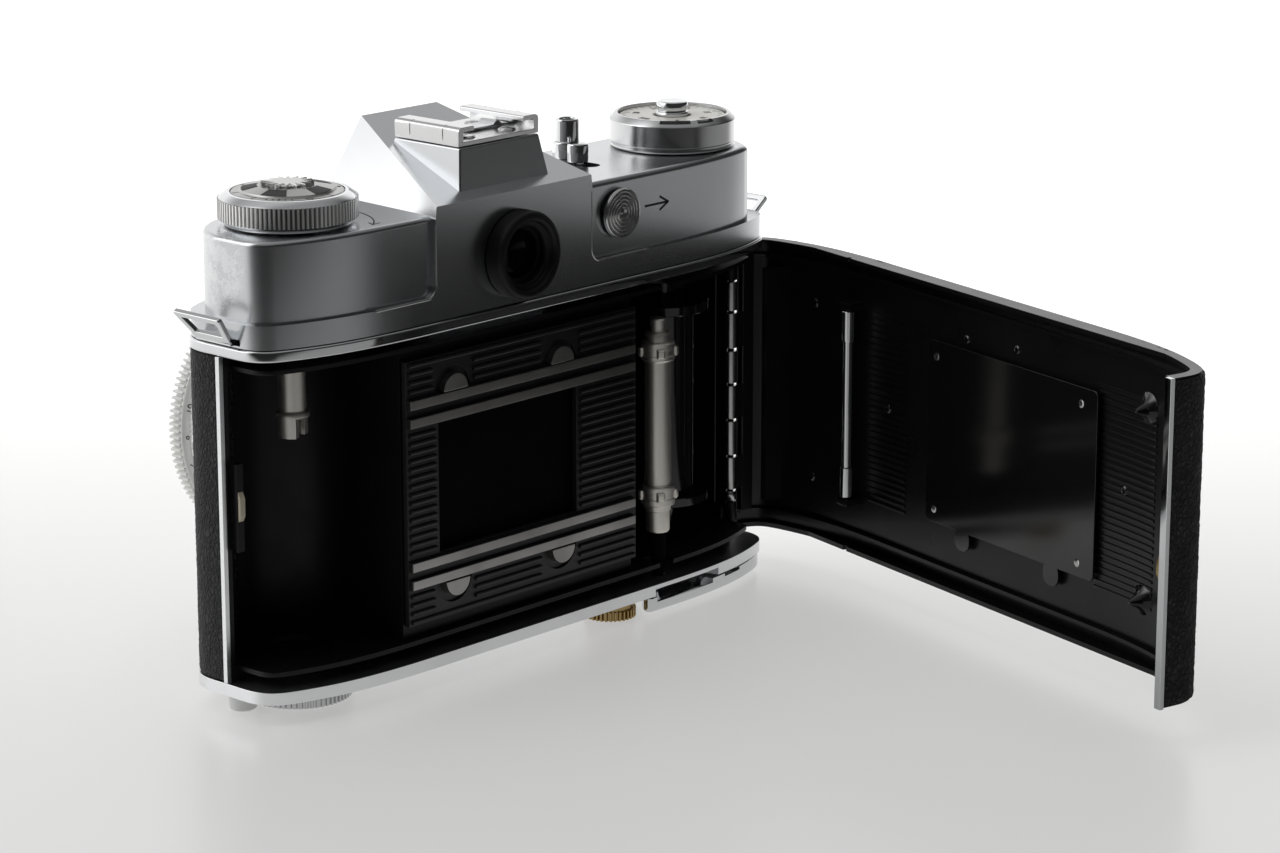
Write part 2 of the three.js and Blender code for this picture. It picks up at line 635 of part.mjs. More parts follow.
const COUNTER_SLIDE_PROFILE = [ // [radius, y]
  [0, -1.6], [2.4, -1.6], [2.4, -0.6], [1.0, -0.6], [1.0, 1.6], [4.7, 1.6],
  [4.7, 2.3], [4.2, 2.7], [0, 2.5],
];

piece('counter_housing', SATIN, cut(
  turned(COUNTER_HOUSING, COUNTER, 28),
  rod(COUNTER, 2.3, 40, 60, 12),
  rod(COUNTER, 3.5, 52.6, 60, 14),
));
piece('counter_dial', DIAL,
  rod(COUNTER, 10.2, 54.9, 55.6, 24).subtract(rod(COUNTER, 3.5, 50, 60, 14)));
piece('release_button', POLISHED, turned(RELEASE_BUTTON, COUNTER, 16));
piece('cable_release_socket', POLISHED, turned(CABLE_SOCKET_PROFILE, CABLE_SOCKET, 14));
piece('counter_release_button', POLISHED, turned(COUNTER_BUTTON_PROFILE, COUNTER_BUTTON, 14));
piece('counter_slide', SATIN, turnedY(COUNTER_SLIDE_PROFILE, COUNTER_SLIDE, 18));

// ---------------------------------------------------------------- film transport
function sprocketShaft() {
  const drums = [14.1, -14.1].flatMap((z) => [
    rod(SPROCKET, 3.2, z - 1.75, z + 1.75, 14),
    ...[20, 110, 200, 290].map((turn) => (
      box(-0.7, 0.7, 2.6, 3.8, -0.9, 0.9).rotate([0, 0, turn]).translate([...SPROCKET, z]))),
  ]);
  return join(
    rod(SPROCKET, 2.55, -19.2, 18.0, 12),
    rod(SPROCKET, 1.6, 17.8, 20.6),
    ...drums,
    rod(SPROCKET, 1.1, -31.4, 27.0),
    rod(SPROCKET, 2.3, -21.4, -16.0, 12),
  );
}

function takeUpSpool() {
  const [x, y] = SPOOL;
  const filmSlot = box(x - 0.6, x + 0.6, y - 8, y + 2, -15, 15);
  return join(
    rod(SPOOL, 6.2, -20, 20, 16).subtract(filmSlot),
    ...[18.2, -20].map((z) => rod(SPOOL, 9.0, z, z + 1.8, 18)),
    rod(SPOOL, 2.4, -28.6, 28.4),
  );
}

piece('sprocket_shaft', POLISHED, sprocketShaft());
piece('take_up_spool', GLOSS_BLACK, takeUpSpool());

// ---------------------------------------------------------------- wind lever and base controls
// the arm hugs the back edge of the base from the hub to the middle of the body
function windLever() {
  const backEdge = outline(0.5)
    .filter(([x, y]) => y > -10.5 && x < -40 && x > -73.5)
    .sort(([xa], [xb]) => xb - xa);
  const arm = [
    [-35.3, -0.2], [-35.8, 1.55], [-40, 1.68], ...backEdge, [-73.0, -14], [-66.0, -22.0],
    [-53.5, -25.0], [-44.5, -21.0], [-43.6, -14], [-42.2, -7], [-39, -2.6],
  ];
  const recess = [[-39.2, 5], [-39.2, 0.2], [-41, -1.0], [-51, -1.0], [-54, 0.2], [-54, 5]];
  return join(prism(arm, -35.4, -32.7), rod(LEVER, 9.4, -36.0, -33, 20))
    .subtract(prism(recess, -33.3, -30))
    .add(rod(LEVER, 3.1, -34, -30.2, 12));
}

const TRIPOD_BUSH = [ // [radius, z]
  [2.7, -35.9], [6.8, -35.9], [6.8, -32.6], [7.7, -32.4], [7.7, -30.3], [2.7, -30.3],
  [2.7, -35.9],
];

piece('wind_lever', POLISHED, windLever());
piece('rewind_release_button', BRASS, join(
  prism(toothed(REWIND_RELEASE, 5.0, 4.5, 30), -35.9, -34.2),
  rod(REWIND_RELEASE, 4.4, -34.4, -32.9, 14),
  rod(REWIND_RELEASE, 2.1, -33.2, -30.2),
));
piece('tripod_bush', STEEL, turned(TRIPOD_BUSH, REWIND, 20));
piece('latch_collar', SATIN,
  prism(toothed(REWIND, 9.6, 9.1, 36), -35.9, -32.5).subtract(rod(REWIND, 7.9, -40, -30, 20)));
piece('latch_tongue', BRASS, box(54.9, 56.5, -13.3, -12.1, -6.0, 10.0));

// ---------------------------------------------------------------- hinge
const barrel = (z0, z1) => rod(HINGE, 1.2, z0, z1);

// barrels with a web [x0, x1, y0, y1] that ties each one to its leaf
function knuckles(spans, web) {
  return join(...spans.flatMap(([bottom, top]) => {
    const z = [bottom + KNUCKLE_GAP, top - KNUCKLE_GAP];
    return [barrel(...z), box(...web, ...z)];
  }));
}

function hingeLeaf(...solids) {
  return join(...solids).subtract(rod(HINGE, 0.7, -40, 40));
}

piece('hinge_pin', POLISHED, rod(HINGE, 0.62, -26.5, 26.5));
piece('hinge_body_leaf', STEEL, hingeLeaf(
  box(-75.0, -74.5, -16.0, -13.3, -26.0, 26.0),
  box(-75.0, -74.2, -13.4, -12.6, 18.7, 26.0),
  barrel(18.6, 26.0),
  knuckles(BODY_KNUCKLES, [-75.0, -74.2, -13.6, -12.4]),
));

// ---------------------------------------------------------------- back door
// laid out closed, then swung open about the hinge
const doorPivot = new THREE.Group();
doorPivot.position.set(...HINGE, 0);
doorPivot.rotation.z = THREE.MathUtils.degToRad(DOOR_OPEN);
const door = new THREE.Group();
door.position.set(-HINGE[0], -HINGE[1], 0);
doorPivot.add(door);
fixed.add(doorPivot);

// keeps the rear half of a body shape and clears the hinge
function doorHalf(solid) {
  return solid
    .intersect(box(-90, 70, -12.0, 10, -60, 60))
    .subtract(box(-90, -71.5, -20, -9.6, -60, 60));
}

// pressed shell: skin, side walls and a turned-in rim along the top and bottom edges
function backDoor() {
  const rim = (z0, z1) => join(
    wall(0.2, 2.3, z0, z1),
    slab(0.2, z0, z1).intersect(box(-74, 57, -1.6, 10, -60, 60)),
  );
  const shell = doorHalf(join(
    wall(0.2, 0.8, PANEL_BOTTOM, PANEL_TOP),
    rim(PANEL_BOTTOM, PANEL_BOTTOM + 0.9),
    rim(PANEL_TOP - 0.9, PANEL_TOP),
  ));
  // rib that closes the light path beside the take-up spool
  const rib = box(-71.6, -69.9, -6.4, -1.0, -23.6, 23.6).intersect(slab(0.5, -60, 60));
  const ears = EAR_BOTTOMS.map((z) => box(-50.4, -48.6, -2.6, 1.5, z, z + EAR_HEIGHT));
  const earHoles = EAR_BOTTOMS.map((z) => rod(ROLLER, 0.55, z - 1, z + EAR_HEIGHT + 1));
  const dimple = [[0, -2.6], [0.5, -2.5], [2.0, 1.0], [0, 1.0]];
  const cassetteDimples = [17.5, -17.5].map((z) => turnedY(dimple, [37.6, z], 10));
  return join(cut(join(shell, rib, ...ears), ...earHoles), ...cassetteDimples);
}

function pressurePlate() {
  const tabs = [-14.6, 12.0].map((x) => (
    prismY(roundedRect(x - 2.2, x + 2.2, -21.4, -17.0, 1.6, 4), 0.15, 0.6)));
  const pips = [-23.4, 19.4].flatMap((x) => (
    [14.6, -15.2].map((z) => rodY([x, z], 0.9, 0.07, 0.4))));
  const plate = prismY(roundedRect(-26.0, 24.0, -17.7, 17.7, 1.2, 3), 0.15, 0.6);
  return join(plate, ...tabs, ...pips);
}

const doorPiece = (name, finish, solid) => piece(name, finish, solid, door);
doorPiece('back_door', BLACK, backDoor());
doorPiece('door_covering', HIDE,
  doorHalf(wall(-0.4, 0.15, PANEL_BOTTOM + 0.5, PANEL_TOP - 0.5)));
doorPiece('door_edge_strip', POLISHED,
  wall(-0.3, 1.3, PANEL_BOTTOM, PANEL_TOP).intersect(box(50, 70, -12.95, -12.05, -60, 60)));
doorPiece('pressure_plate', GLOSS_BLACK, pressurePlate());
doorPiece('pressure_plate_spring', STEEL, box(-12, 10, 0.98, 1.2, -4.0, 4.0));
doorPiece('film_roller', POLISHED, join(
  rod(ROLLER, 0.95, -13.5, 13.5),
  rod(ROLLER, 1.25, 12.6, 18.6),
  rod(ROLLER, 1.25, -18.6, -12.6),
  rod(ROLLER, 0.45, -20.2, 19.9),
));
doorPiece('door_latch_hook', BRASS,
  box(55.1, 56.1, -11.8, -7.0, -8.2, -2.0).subtract(box(54, 60, -10.6, -9.2, -7.2, -3.0)));
doorPiece('hinge_door_leaf', STEEL, hingeLeaf(
  knuckles(DOOR_KNUCKLES, [-74.2, -73.6, -11.6, -8.0]),
  box(-74.2, -73.6, -9.4, -7.0, -26.0, 26.0),
));

camera.updateMatrixWorld(true);
export default camera;
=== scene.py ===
import bpy, bmesh, math
from mathutils import Vector, Matrix, noise


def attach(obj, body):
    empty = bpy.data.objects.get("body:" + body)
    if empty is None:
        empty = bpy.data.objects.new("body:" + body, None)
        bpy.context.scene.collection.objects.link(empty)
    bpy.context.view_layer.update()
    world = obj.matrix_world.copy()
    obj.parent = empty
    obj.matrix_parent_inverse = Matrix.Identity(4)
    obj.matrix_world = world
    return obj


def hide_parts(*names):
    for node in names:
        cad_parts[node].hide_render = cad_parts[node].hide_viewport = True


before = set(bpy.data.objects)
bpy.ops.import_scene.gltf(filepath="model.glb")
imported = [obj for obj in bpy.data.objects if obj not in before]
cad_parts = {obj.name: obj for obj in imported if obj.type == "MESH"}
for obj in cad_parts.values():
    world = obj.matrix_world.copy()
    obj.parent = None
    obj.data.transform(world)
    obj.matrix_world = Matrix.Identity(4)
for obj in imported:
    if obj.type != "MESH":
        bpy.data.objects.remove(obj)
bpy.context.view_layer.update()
scene = bpy.context.scene

# ------------------------------------------------------------------ frame of the layout, in millimetres
# Everything is drawn around the optical axis and the film plane, then moved to the row frame.
LIFT = Matrix.Translation((0, 0.036, 0.036)) @ Matrix.Scale(0.001, 4)
HINGE = (-74.35, -11.92)
OPEN = math.radians(75.19)
SWING = Matrix.Translation((HINGE[0], HINGE[1], 0)) @ Matrix.Rotation(OPEN, 4, 'Z') @ Matrix.Translation((-HINGE[0], -HINGE[1], 0))
CX, CY = -8.8, -14.4
REWIND = (41.2, -14.0)
COUNTER = (-59.1, -14.0)
SPROCKET = (-42.6, -2.75)
SPOOL = (-57.5, -15.0)
LEVER = (-53.5, -14.0)
FINDER = 0.6
TOP, BOTTOM = 29.35, -29.92
FLANGE, DECK = 35.8, 50.2
FLOOR_GLOW = 0.36

# ------------------------------------------------------------------ solids
def finish_mesh(bm, merge=1e-5):
    bmesh.ops.remove_doubles(bm, verts=bm.verts, dist=merge)
    bmesh.ops.recalc_face_normals(bm, faces=bm.faces)
    me = bpy.data.meshes.new("solid")
    bm.to_mesh(me)
    bm.free()
    return me

def prism(points, z0, z1):
    bm = bmesh.new()
    lo = [bm.verts.new((x, y, z0)) for x, y in points]
    hi = [bm.verts.new((x, y, z1)) for x, y in points]
    n = len(points)
    bm.faces.new(lo[::-1])
    bm.faces.new(hi)
    for i in range(n):
        bm.faces.new((lo[i], lo[(i + 1) % n], hi[(i + 1) % n], hi[i]))
    return finish_mesh(bm)

def moved(me, matrix):
    me = me.copy()
    me.transform(matrix)
    if matrix.determinant() < 0:
        me.flip_normals()
    return me

def prism_y(points, y0, y1):
    me = prism(points, y0, y1)
    me.transform(Matrix(((1, 0, 0, 0), (0, 0, 1, 0), (0, 1, 0, 0), (0, 0, 0, 1))))
    me.flip_normals()
    return me

def prism_x(points, x0, x1):
    me = prism(points, x0, x1)
    me.transform(Matrix(((0, 0, 1, 0), (1, 0, 0, 0), (0, 1, 0, 0), (0, 0, 0, 1))))
    return me

def box(x0, x1, y0, y1, z0, z1):
    return prism([(x0, y0), (x1, y0), (x1, y1), (x0, y1)], z0, z1)

def circle(cx, cy, r, n=48, a0=0.0):
    return [(cx + r * math.cos(a0 + 2 * math.pi * i / n), cy + r * math.sin(a0 + 2 * math.pi * i / n)) for i in range(n)]

def rod(cx, cy, r, z0, z1, n=48):
    return prism(circle(cx, cy, r, n), z0, z1)

def rod_y(cx, cz, r, y0, y1, n=48):
    return prism_y(circle(cx, cz, r, n), y0, y1)

def lathe(profile, cx, cy, n=96):
    """profile of (radius, height), ends on the axis or closes on itself"""
    bm = bmesh.new()
    closed = abs(profile[0][0] - profile[-1][0]) < 1e-9 and abs(profile[0][1] - profile[-1][1]) < 1e-9
    pts = profile[:-1] if closed else profile
    rings = []
    for r, z in pts:
        if r < 1e-6:
            rings.append([bm.verts.new((cx, cy, z))])
        else:
            rings.append([bm.verts.new((x, y, z)) for x, y in circle(cx, cy, r, n)])
    m = len(rings)
    for k in range(m if closed else m - 1):
        a, b = rings[k], rings[(k + 1) % m]
        if len(a) == 1 and len(b) == 1:
            continue
        for i in range(n):
            j = (i + 1) % n
            if len(a) == 1:
                bm.faces.new((a[0], b[j], b[i]))
            elif len(b) == 1:
                bm.faces.new((a[i], a[j], b[0]))
            else:
                bm.faces.new((a[i], a[j], b[j], b[i]))
    return finish_mesh(bm)

def lathe_y(profile, cx, cz, n=96):
    me = lathe(profile, 0, 0, n)
    me.transform(Matrix(((1, 0, 0, cx), (0, 0, 1, 0), (0, 1, 0, cz), (0, 0, 0, 1))))
    me.flip_normals()
    return me

def loft(rings):
    bm = bmesh.new()
    R = [[bm.verts.new(p) for p in ring] for ring in rings]
    n = len(R[0])
    for a, b in zip(R, R[1:]):
        for i in range(n):
            j = (i + 1) % n
            bm.faces.new((a[i], a[j], b[j], b[i]))
    bm.faces.new(R[0][::-1])
    bm.faces.new(R[-1])
    return finish_mesh(bm)

def rounded(x0, x1, y0, y1, r, n=10):
    out = []
    for cx, cy, a0 in ((x1 - r, y1 - r, 0), (x0 + r, y1 - r, 90), (x0 + r, y0 + r, 180), (x1 - r, y0 + r, 270)):
        for i in range(n + 1):
            a = math.radians(a0 + 90 * i / n)
            out.append((cx + r * math.cos(a), cy + r * math.sin(a)))
    return out

def knurl(cx, cy, r_out, r_in, count, flat=0.35):
    out = []
    for i in range(count):
        for f, r in ((0, r_out), (flat, r_out), (0.5 + 0.08, r_in), (1 - 0.08, r_in)):
            a = 2 * math.pi * (i + f) / count
            out.append((cx + r * math.cos(a), cy + r * math.sin(a)))
    return out

def _obj(me):
    o = bpy.data.objects.new("tmp", me)
    scene.collection.objects.link(o)
    return o

def boolean(a, b, op):
    oa, ob = _obj(a), _obj(b)
    m = oa.modifiers.new("b", 'BOOLEAN')
    m.operation = op
    m.object = ob
    m.solver = 'EXACT'
    bpy.context.view_layer.update()
    out = bpy.data.meshes.new_from_object(oa.evaluated_get(bpy.context.evaluated_depsgraph_get()))
    bpy.data.objects.remove(oa)
    bpy.data.objects.remove(ob)
    return out

def cut(a, *bs):
    for b in bs:
        a = boolean(a, b, 'DIFFERENCE')
    return a

def join(a, *bs):
    for b in bs:
        a = boolean(a, b, 'UNION')
    return a

def both(a, *bs):
    for b in bs:
        a = boolean(a, b, 'INTERSECT')
    return a

def heap(*ms):
    """several separate solids in one mesh"""
    bm = bmesh.new()
    for m in ms:
        bm.from_mesh(m)
    me = bpy.data.meshes.new("heap")
    bm.to_mesh(me)
    bm.free()
    return me

def bevel(me, width, seg=3, angle=25, where=None, concave=False):
    bm = bmesh.new()
    bm.from_mesh(me)
    bmesh.ops.remove_doubles(bm, verts=bm.verts, dist=1e-4)
    bmesh.ops.dissolve_limit(bm, angle_limit=math.radians(0.3), verts=bm.verts, edges=bm.edges)
    chosen = []
    for e in bm.edges:
        if len(e.link_faces) != 2:
            continue
        a = e.calc_face_angle_signed(0)
        if (abs(a) if concave else a) < math.radians(angle):
            continue
        if where and not where((e.verts[0].co + e.verts[1].co) / 2):
            continue
        chosen.append(e)
    if chosen:
        bmesh.ops.bevel(bm, geom=chosen, offset=width, offset_type='OFFSET', segments=seg, profile=0.5, affect='EDGES', clamp_overlap=True)
    out = bpy.data.meshes.new("bevelled")
    bm.to_mesh(out)
    bm.free()
    return out

QUARTER = [(67.2, 0), (67.2, 6.0), (66.7, 8.3), (65.5, 10.3), (63.4, 11.8), (58, 13.75), (52, 15.2), (45, 16.1), (38, 16.5), (31.6, 16.6)]
FRONT_REWIND = [(67.2, 0), (67.2, 4.2), (66.6, 6.9), (65.2, 9.2), (62.9, 11.0), (57.7, 13.3), (51.9, 14.95), (45, 16.0), (38, 16.5), (31.6, 16.6)]
def outline(inset=0.0, steps=3):
    q = QUARTER
    ring = q + [(-x, y) for x, y in q[::-1]] + [(-x, -y) for x, y in q[1:]] + [(x, -y) for x, y in FRONT_REWIND[::-1][:-1]]
    n = len(ring)
    fine = []
    for i in range(n):
        p0, p1, p2, p3 = (Vector(ring[(i + k) % n]) for k in (-1, 0, 1, 2))
        if (p2 - p1).length > 20:
            fine.append(p1)
            continue
        for s in range(steps):
            t = s / steps
            # centripetal-like weights keep the flats flat
            m1 = (p2 - p0) * ((p2 - p1).length / max((p2 - p0).length, 1e-6))
            m2 = (p3 - p1) * ((p2 - p1).length / max((p3 - p1).length, 1e-6))
            h = (2 * t ** 3 - 3 * t ** 2 + 1) * p1 + (t ** 3 - 2 * t ** 2 + t) * m1 + (-2 * t ** 3 + 3 * t ** 2) * p2 + (t ** 3 - t ** 2) * m2
            fine.append(h)
    n = len(fine)
    out = []
    for i in range(n):
        p, q0, q1 = fine[i], fine[i - 1], fine[(i + 1) % n]
        d = (p - q0).normalized() + (q1 - p).normalized()
        d.normalize()
        nrm = Vector((d.y, -d.x))
        c = (p - q0).normalized()
        k = Vector((c.y, -c.x)).dot(nrm)
        w = p - nrm * (inset / k)
        out.append((CX + w.x, CY + w.y))
    return out

# ------------------------------------------------------------------ materials
class Nodes:
    def __init__(self, name):
        self.m = bpy.data.materials.new(name)
        self.m.use_nodes = True
        self.t = self.m.node_tree
        self.b = self.t.nodes["Principled BSDF"]
        tc = self.new('ShaderNodeTexCoord')
        self.co = tc.outputs['Object']
    def new(self, kind, **k):
        n = self.t.nodes.new(kind)
        for a, v in k.items():
            setattr(n, a, v)
        return n
    def link(self, a, b):
        self.t.links.new(a, b)
    def noise(self, scale, detail=3, rough=0.5, co=None):
        n = self.new('ShaderNodeTexNoise')
        n.inputs['Scale'].default_value = scale
        n.inputs['Detail'].default_value = detail
        n.inputs['Roughness'].default_value = rough
        self.link(co or self.co, n.inputs['Vector'])
        return n.outputs['Fac']
    def ramp(self, fac, stops):
        r = self.new('ShaderNodeValToRGB')
        e = r.color_ramp.elements
        while len(e) < len(stops):
            e.new(0.5)
        for x, (p, c) in zip(e, stops):
            x.position = p
            x.color = (c, c, c, 1) if isinstance(c, (int, float)) else tuple(c) + (1,)
        self.link(fac, r.inputs['Fac'])
        return r.outputs['Color']
    def maths(self, op, a, b=None):
        n = self.new('ShaderNodeMath', operation=op)
        for i, v in enumerate((a, b)):
            if v is None:
                continue
            if isinstance(v, (int, float)):
                n.inputs[i].default_value = v
            else:
                self.link(v, n.inputs[i])
        return n.outputs[0]
    def mix(self, fac, a, b):
        n = self.new('ShaderNodeMix', data_type='RGBA')
        for s, v in ((n.inputs[0], fac), (n.inputs[6], a), (n.inputs[7], b)):
            if isinstance(v, (int, float)):
                s.default_value = v
            elif isinstance(v, tuple):
                s.default_value = v + (1,) if len(v) == 3 else v
            else:
                self.link(v, s)
        return n.outputs[2]
    def bump(self, height, strength, dist=0.0001, normal=None):
        n = self.new('ShaderNodeBump')
        n.inputs['Strength'].default_value = strength
        n.inputs['Distance'].default_value = dist
        self.link(height, n.inputs['Height'])
        if normal is not None:
            self.link(normal, n.inputs['Normal'])
        return n.outputs['Normal']
    def set(self, **k):
        for a, v in k.items():
            s = self.b.inputs[a.replace('_', ' ')]
            if isinstance(v, (int, float)):
                s.default_value = v
            elif isinstance(v, tuple):
                s.default_value = v + (1,)
            else:
                self.link(v, s)

def scaled(n, sx, sy, sz):
    m = n.new('ShaderNodeMapping')
    m.inputs['Scale'].default_value = (sx, sy, sz)
    n.link(n.co, m.inputs['Vector'])
    return m.outputs['Vector']

def metal(name, colour, rough, spread=0.06, grain=0.25, grain_scale=5200, tarnish=0.25, tarnish_colour=(0.30, 0.29, 0.27), patch=None):
    n = Nodes(name)
    broad = n.noise(60, 3, 0.5)
    fine = n.noise(grain_scale, 2)
    smear = n.noise(1, 4, 0.6, co=scaled(n, 260, 260, 900))
    dark = n.ramp(broad, [(0.42, 0.0), (0.72, 1.0)])
    fac = n.maths('MULTIPLY', dark, tarnish)
    col = n.mix(fac, colour, tarnish_colour)
    r = n.maths('ADD', n.maths('MULTIPLY', n.maths('SUBTRACT', smear, 0.5), spread * 2), rough)
    r = n.maths('ADD', r, n.maths('MULTIPLY', fac, 0.10))
    if patch:
        (cx, cy, cz), rad = patch
        d = n.new('ShaderNodeVectorMath', operation='DISTANCE')
        n.link(n.co, d.inputs[0])
        d.inputs[1].default_value = (cx / 1000, (cy + 36) / 1000, (cz + 36) / 1000)
        near = n.maths('SUBTRACT', 1.0, n.maths('DIVIDE', d.outputs['Value'], rad / 1000))
        spots = n.noise(520, 6, 0.75)
        near = n.maths('MAXIMUM', near, 0.0)
        mask = n.ramp(n.maths('MULTIPLY', near, n.ramp(spots, [(0.44, 0.0), (0.60, 1.0)])), [(0.06, 0.0), (0.36, 1.0)])
        col = n.mix(n.maths('MULTIPLY', mask, 0.6), col, (0.86, 0.87, 0.87))
        r = n.maths('ADD', r, n.maths('MULTIPLY', mask, 0.22))
    n.set(Base_Color=col, Metallic=1.0, Roughness=r, Normal=n.bump(fine, grain, 0.00002))
    return n.m

def paint(name, colour, rough, spread=0.12, bump=0.12, scale=1800, dust=0.05, coat=0.0):
    n = Nodes(name)
    broad = n.noise(140, 5, 0.6)
    fine = n.noise(scale, 3)
    specks = n.ramp(n.noise(2600, 2), [(0.70, 0.0), (0.80, 1.0)])
    r = n.maths('ADD', n.maths('MULTIPLY', n.maths('SUBTRACT', broad, 0.5), spread * 2), rough)
    col = n.mix(n.maths('MULTIPLY', specks, dust), colour, (0.12, 0.12, 0.12))
    n.set(Base_Color=col, Roughness=r, Coat_Weight=coat, Coat_Roughness=0.12, Normal=n.bump(fine, bump, 0.00003))
    return n.m

SATIN = metal("satin_chrome", (0.60, 0.612, 0.625), 0.24, spread=0.015, grain=0.0, tarnish=0.10, tarnish_colour=(0.42, 0.43, 0.44), patch=((57.0, -15.0, 44.5), 8.0))
SATIN_FINE = metal("satin_fine", (0.64, 0.645, 0.65), 0.22, spread=0.02, grain=0.1, tarnish=0.10)
SCALE = paint("pale_scale", (0.86, 0.86, 0.84), 0.45, spread=0.05, bump=0.08, dust=0.0)
DIAL = metal("dial_satin", (0.50, 0.50, 0.49), 0.34, spread=0.03, grain=0.1, tarnish=0.15)
BRIGHT = metal("polished_chrome", (0.74, 0.75, 0.76), 0.07, spread=0.03, grain=0.05, tarnish=0.10)
KNURL = metal("knurled_metal", (0.86, 0.86, 0.85), 0.42, spread=0.03, grain=0.1, tarnish=0.15)
SHOE = metal("shoe_chrome", (0.70, 0.70, 0.70), 0.20, spread=0.02, grain=0.08, tarnish=0.10)
STEEL = metal("bright_steel", (0.60, 0.60, 0.60), 0.24, spread=0.05, grain=0.2, tarnish=0.2)
RAIL = metal("machined_rail", (0.46, 0.455, 0.44), 0.38, spread=0.08, grain=0.5, grain_scale=3800, tarnish=0.55, tarnish_colour=(0.16, 0.15, 0.14))
BRASS = metal("old_brass", (0.42, 0.31, 0.14), 0.32, tarnish=0.5, tarnish_colour=(0.13, 0.09, 0.05))
BASE = metal("base_chrome", (0.86, 0.87, 0.88), 0.30, spread=0.05, tarnish=0.12)
NICKEL = metal("warm_nickel", (0.86, 0.83, 0.77), 0.44, spread=0.02, grain=0.05, tarnish=0.15, tarnish_colour=(0.50, 0.45, 0.36))
BLACK = paint("black_paint", (0.0045, 0.0045, 0.005), 0.40, bump=0.25)
GATE = paint("gate_black", (0.010, 0.010, 0.0105), 0.44, bump=0.3)
GLOSS = paint("gloss_black", (0.0045, 0.0045, 0.005), 0.12, spread=0.03, bump=0.02, coat=0.4)
SHELL = paint("door_black", (0.004, 0.004, 0.0045), 0.30, spread=0.08, bump=0.18, coat=0.08)
DEEP = paint("tunnel_black", (0.0012, 0.0012, 0.0012), 0.9, bump=0.4, dust=0.0)
MATT = paint("eyecup_black", (0.004, 0.004, 0.004), 0.48, spread=0.04, bump=0.1, dust=0.02)
# the eyepiece glass is opaque black paint: painted shade for the dark finder seen through it
EYEPIECE_GLASS_SHADE = paint("eyepiece_glass_painted_shade", (0.002, 0.002, 0.002), 0.10, spread=0.02, bump=0.0, dust=0.0)
EYEPIECE_GLASS_SHADE.node_tree.nodes["Principled BSDF"].inputs["Specular IOR Level"].default_value = 0.10
BLACK.node_tree.nodes["Principled BSDF"].inputs["Specular IOR Level"].default_value = 0.26
DEEP.node_tree.nodes["Principled BSDF"].inputs["Specular IOR Level"].default_value = 0.10
SHELL.node_tree.nodes["Principled BSDF"].inputs["Specular IOR Level"].default_value = 0.34
MATT.node_tree.nodes["Principled BSDF"].inputs["Specular IOR Level"].default_value = 0.30
CREAM = paint("worn_cream", (0.52, 0.47, 0.36), 0.40, spread=0.08, bump=0.2)
INK = paint("engraved_black", (0.006, 0.006, 0.006), 0.55, bump=0.1, dust=0.0)
LACQUER = paint("pale_lacquer", (0.62, 0.61, 0.57), 0.35, spread=0.05, bump=0.08, dust=0.3)
RUBBERED = paint("foot_plastic", (0.70, 0.71, 0.70), 0.30, spread=0.04, bump=0.1)

def leather(name):
    n = Nodes(name)
    co = scaled(n, 1, 1, 0.7)
    warp = n.new('ShaderNodeVectorMath', operation='ADD')
    nz = n.new('ShaderNodeTexNoise')
    nz.inputs['Scale'].default_value = 900
    nz.inputs['Detail'].default_value = 4
    n.link(co, nz.inputs['Vector'])
    sc = n.new('ShaderNodeVectorMath', operation='SCALE')
    n.link(nz.outputs['Color'], sc.inputs[0])
    sc.inputs['Scale'].default_value = 0.0011
    n.link(co, warp.inputs[0])
    n.link(sc.outputs[0], warp.inputs[1])
    v = n.new('ShaderNodeTexVoronoi', feature='DISTANCE_TO_EDGE')
    v.inputs['Scale'].default_value = 1250
    n.link(warp.outputs[0], v.inputs['Vector'])
    crease = n.ramp(v.outputs['Distance'], [(0.0, 0.0), (0.30, 1.0)])
    fine = n.noise(5200, 3, 0.7)
    worn = n.ramp(n.noise(420, 5, 0.65), [(0.42, 0.0), (0.68, 1.0)])
    # the grain's creases are painted darker than the cell tops: painted shade in the creases
    col = n.mix(crease, (0.0035, 0.0035, 0.004), (0.013, 0.013, 0.014))
    col = n.mix(n.maths('MULTIPLY', n.maths('MULTIPLY', worn, crease), 0.8), col, (0.048, 0.048, 0.050))
    nrm = n.bump(fine, 0.5, 0.00006)
    nrm = n.bump(crease, 1.0, 0.00030, nrm)
    n.set(Base_Color=col, Roughness=n.maths('ADD', 0.46, n.maths('MULTIPLY', fine, 0.25)), Specular_IOR_Level=0.35, Normal=nrm)
    return n.m
HIDE = leather("grained_covering")

def glass(name, colour=(0.9, 0.95, 1.0), rough=0.02):
    n = Nodes(name)
    smear = n.noise(300, 4)
    n.set(Base_Color=colour, Roughness=n.maths('ADD', rough, n.maths('MULTIPLY', smear, 0.03)), Transmission_Weight=1.0, IOR=1.5)
    return n.m
GLASS = glass("optical_glass")
def mirrored(name):
    n = Nodes(name)
    n.set(Base_Color=(0.86, 0.88, 0.90), Metallic=1.0, Roughness=n.maths('ADD', 0.01, n.maths('MULTIPLY', n.noise(150, 4), 0.03)))
    return n.m
SILVER = mirrored("mirror_silver")
def cells(name):
    n = Nodes(name)
    v = n.new('ShaderNodeTexVoronoi')
    v.inputs['Scale'].default_value = 900
    n.link(n.co, v.inputs['Vector'])
    n.set(Base_Color=n.mix(n.ramp(v.outputs['Distance'], [(0.0, 0.4), (0.6, 0.0)]), (0.05, 0.055, 0.06), (0.4, 0.42, 0.44)), Roughness=0.15, Normal=n.bump(v.outputs['Distance'], 0.5, 0.0002))
    return n.m
CELL = cells("meter_window")

